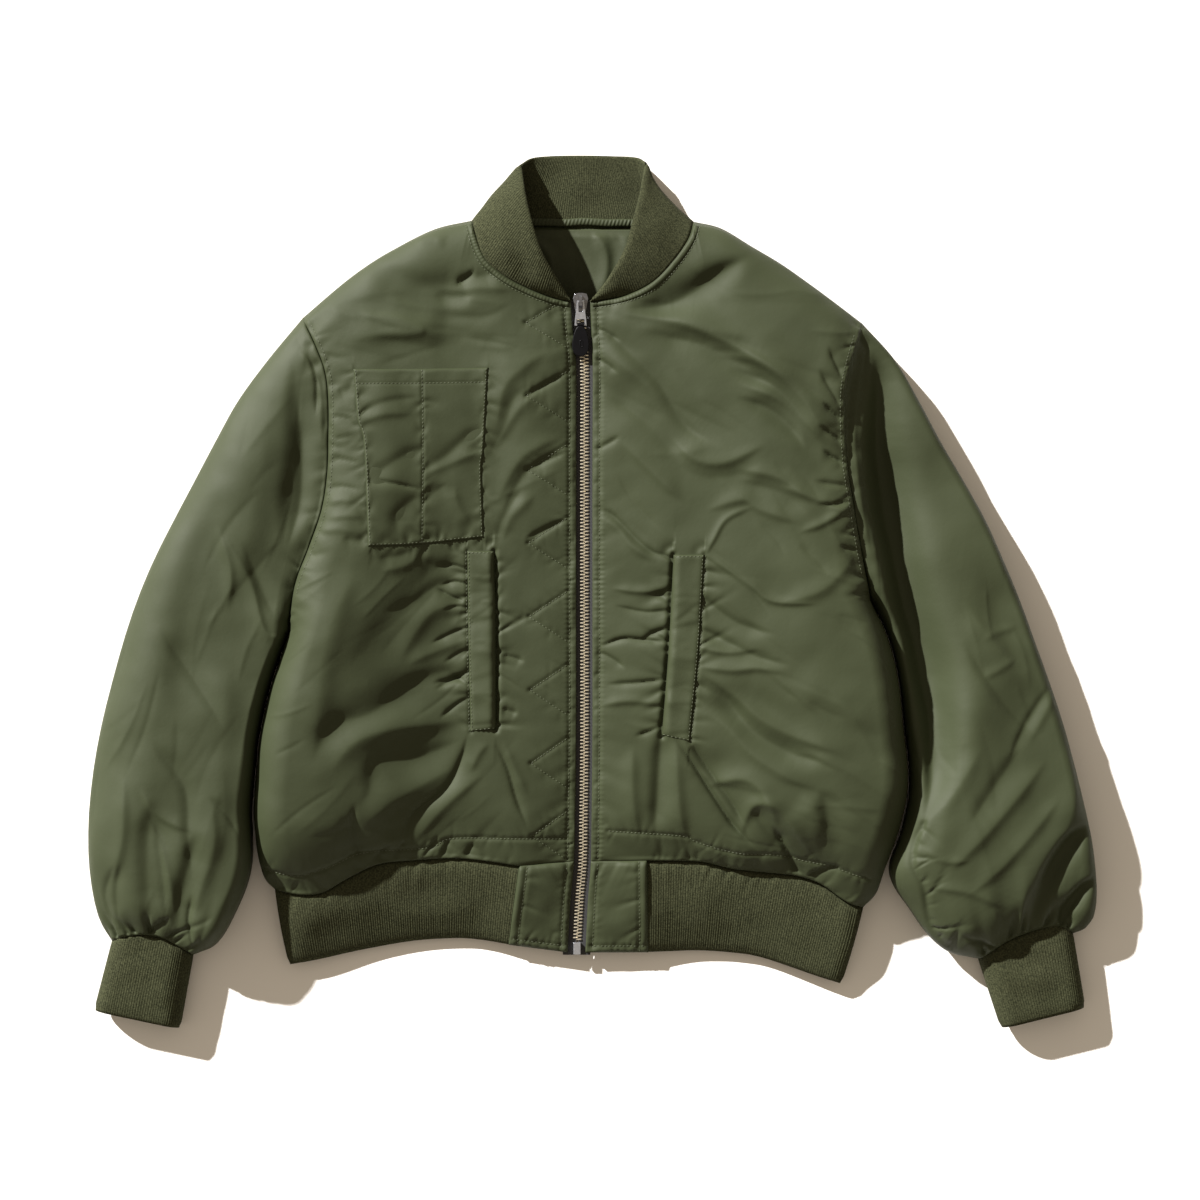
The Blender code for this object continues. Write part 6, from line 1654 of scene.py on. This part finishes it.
def floor_finish(name):
    """Pale, plain and matt."""
    n = Nodes(name)
    spot = n.add("ShaderNodeTexCoord").outputs["Object"]
    n.set(Base_Color=n.mix_colour(n.noise(spot, 3.0), (0.86, 0.85, 0.84), (0.88, 0.87, 0.86)), Roughness=0.9,
          Specular_IOR_Level=0.1)
    return n.material


NYLON = nylon("olive_nylon_cloth", (0.029, 0.036, 0.0165), (0.036, 0.0445, 0.0205))
LINING = nylon("olive_lining_cloth", (0.030, 0.037, 0.017), (0.038, 0.046, 0.022), (0.54, 0.64))
KNIT = knit("olive_knit", (0.0180, 0.0204, 0.0104), (0.0530, 0.0572, 0.0300))
TAPE = tape("charcoal_woven_tape")
SILVER = metal("nickel_plate", (0.36, 0.38, 0.43), (0.60, 0.63, 0.70), (0.20, 0.36))
# Slider nickel: its base is darker than the metal's own colour. This is painted dark reflection, so the sun's
# highlights on the crown stand out.
SLIDER_NICKEL_PAINTED_DARK = metal("nickel_with_painted_dark_reflection", (0.10, 0.10, 0.11), (0.30, 0.31, 0.33), (0.14, 0.28))
BRASS = metal("brass_teeth", (0.70, 0.63, 0.48), (0.95, 0.90, 0.76), (0.28, 0.42))
RUBBER = rubber("black_moulding")
THREAD = thread("olive_thread")


def dress(piece, finish, stands_for=(), body="jacket"):
    """Give a piece its material and body, and hide the CAD nodes that it replaces."""
    piece.data.materials.clear()
    piece.data.materials.append(finish)
    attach(piece, body)
    if stands_for:
        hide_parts(*stands_for)
    return piece


# ---- The jacket ------------------------------------------------------------------------
def build_fronts():
    """Both fronts; returns trees of their surfaces."""
    trees = {}
    for side in SIDES:
        grid = front_surface(side)
        trees[side] = tree_of(grid)
        piece = dress(wall(f"front_{side}_nylon", grid, THICK["panel"], True, coarse=4), NYLON,
                      (f"front_{side}",))
    return trees


def build_back():
    """The back, and what shows of its inside at the neck."""
    piece = dress(wall("back_nylon", back_surface(), THICK["panel"], False), NYLON, ("back",))
    piece = dress(make_lining(), LINING, ("back_lining",))
    piece = dress(make_neck_tape(), LINING)


def build_sleeves():
    for side in SIDES:
        piece = dress(wall(f"sleeve_{side}_top_nylon", sleeve_surface(side, True), THICK["panel"], True,
                           coarse=4), NYLON, (f"sleeve_{side}_upper",))
        piece = dress(wall(f"sleeve_{side}_under_nylon", sleeve_surface(side, False), THICK["panel"], False),
                      NYLON, (f"sleeve_{side}_under",))


def build_knit():
    """Collar, hem band and cuffs; returns the ends of the hem band."""
    piece = dress(make_collar(), KNIT, ("collar_rib",))
    piece, outer = make_hem_band()
    dress(piece, KNIT, ("hem_rib",))
    for side in SIDES:
        piece = dress(make_cuff(side), KNIT, (f"cuff_{side}",))
    return {"right": outer[0], "left": outer[-1]}


# These four make pieces, and each returns its stitch lines with the trees of the surfaces they lie on.
def build_pocket(tree):
    piece, grid = make_pocket(tree)
    dress(piece, NYLON, ("pocket_chest",))
    lines = [shift(spline(POCKET[name], 5), gap) for name, gap in POCKET_STITCH.items()]
    lines += [spline(POCKET_DIVIDER, 5), spline(POCKET_HEM, 5)]
    own = tree_of(grid)
    return [(line, own) for line in lines]


def build_welt(side, tree):
    piece, grid = make_welt(side, tree)
    dress(piece, NYLON, (f"welt_{side}",))
    top, bottom, sewn_edge = (spline(WELT[side][name], 5) for name in ("top", "bottom", OTHER[side]))
    own = tree_of(grid)
    outward, ends = SIGN[side], WELT_STITCH["ends"]
    return [(shift(sewn_edge, -outward * WELT_STITCH["inside"]), own),
            (shift(sewn_edge, outward * WELT_STITCH["beside"]), tree),
            (shift(top, -ends), own), (shift(bottom, ends), own)]


def build_binding(side, tree):
    piece, inner = make_binding(side, tree)
    dress(piece, NYLON)
    return [(shift(inner, SIGN[side] * (BINDING + BINDING_STITCH)), tree)]


def build_tab(side, band_end):
    piece, grid, lines = make_tab(side, band_end)
    dress(piece, NYLON, (f"hem_tab_{side}",))
    own = tree_of(grid)
    return [(line, own) for line in (*lines, placket_line(side, ZIP_HEM - 2.0, TAB_END + 3.0, 20))]


def build_trim(trees, band_ends):
    """Pocket, welts, bindings and tabs, and all the stitches."""
    rows = build_pocket(trees["right"])
    for side in SIDES:
        rows += build_welt(side, trees[side]) + build_binding(side, trees[side])
        armhole = shift(spline(OUTLINE[side]["armhole"]), -SIGN[side] * ARMHOLE_STITCH)[4:-8]
        placket = placket_line(side, ZIP_TOP - 3.0, ZIP_HEM + 2.0, 60)
        rows += [(line, trees[side]) for line in (placket, spline(HEM_STITCH[side], 5), armhole)]
        rows += build_tab(side, band_ends[side])
    rows += [(leg, trees["right"]) for leg in zigzag_legs()]
    dress(make_stitches("stitches", rows), THREAD)


def build_zip():
    """Teeth and slot mark, and the materials of the CAD nodes that stay visible."""
    dress(make_teeth(), BRASS)
    dress(make_slot_mark(), RUBBER, body="pull_tab")
    finishes = {"zip_tape_right": TAPE, "zip_tape_left": TAPE, "zip_slider": SLIDER_NICKEL_PAINTED_DARK, "zip_lever": SILVER,
                "zip_box": SILVER, "zip_tab": RUBBER}
    for node, finish in finishes.items():
        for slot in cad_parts[node].material_slots:
            slot.material = finish


# ---- Studio ----------------------------------------------------------------------------
def build_floor():
    half = FLOOR["half"]
    mesh = bpy.data.meshes.new("floor")
    mesh.from_pydata([(-half, -half, 0), (half, -half, 0), (half, half, 0), (-half, half, 0)], [],
                     [(0, 1, 2, 3)])
    mesh.materials.append(floor_finish("pale_floor"))
    floor = bpy.data.objects.new("floor", mesh)
    bpy.context.collection.objects.link(floor)
    floor.location.z = FLOOR["z"]


def build_light():
    lamp = bpy.data.lights.new("key", "SUN")
    lamp.energy, lamp.angle, lamp.color = SUN["energy"], math.radians(SUN["angle"]), SUN["colour"]
    key = bpy.data.objects.new("key", lamp)
    bpy.context.collection.objects.link(key)
    key.rotation_euler = Vector(SUN["way"]).to_track_quat("-Z", "Y").to_euler()

    world = bpy.data.worlds.new("studio")
    bpy.context.scene.world = world
    world.use_nodes = True
    background = world.node_tree.nodes["Background"]
    background.inputs["Color"].default_value = SKY["colour"]
    background.inputs["Strength"].default_value = SKY["strength"]


def build_camera():
    """Straight above, as in the photo: the frame is as wide as CAMERA says at the jacket's middle height."""
    lens = bpy.data.cameras.new("camera")
    lens.lens, lens.sensor_width = CAMERA["lens"], CAMERA["sensor"]
    camera = bpy.data.objects.new("camera", lens)
    bpy.context.collection.objects.link(camera)
    height = CAMERA["middle_z"] + CAMERA["width"] * lens.lens / lens.sensor_width
    camera.location = (CAMERA["x"], CAMERA["y"], height)
    bpy.context.scene.camera = camera
    bpy.context.scene.view_settings.view_transform = "Standard"


fronts = build_fronts()
build_back()
build_sleeves()
hem_ends = build_knit()
build_trim(fronts, hem_ends)
build_zip()
build_floor()
build_light()
build_camera()
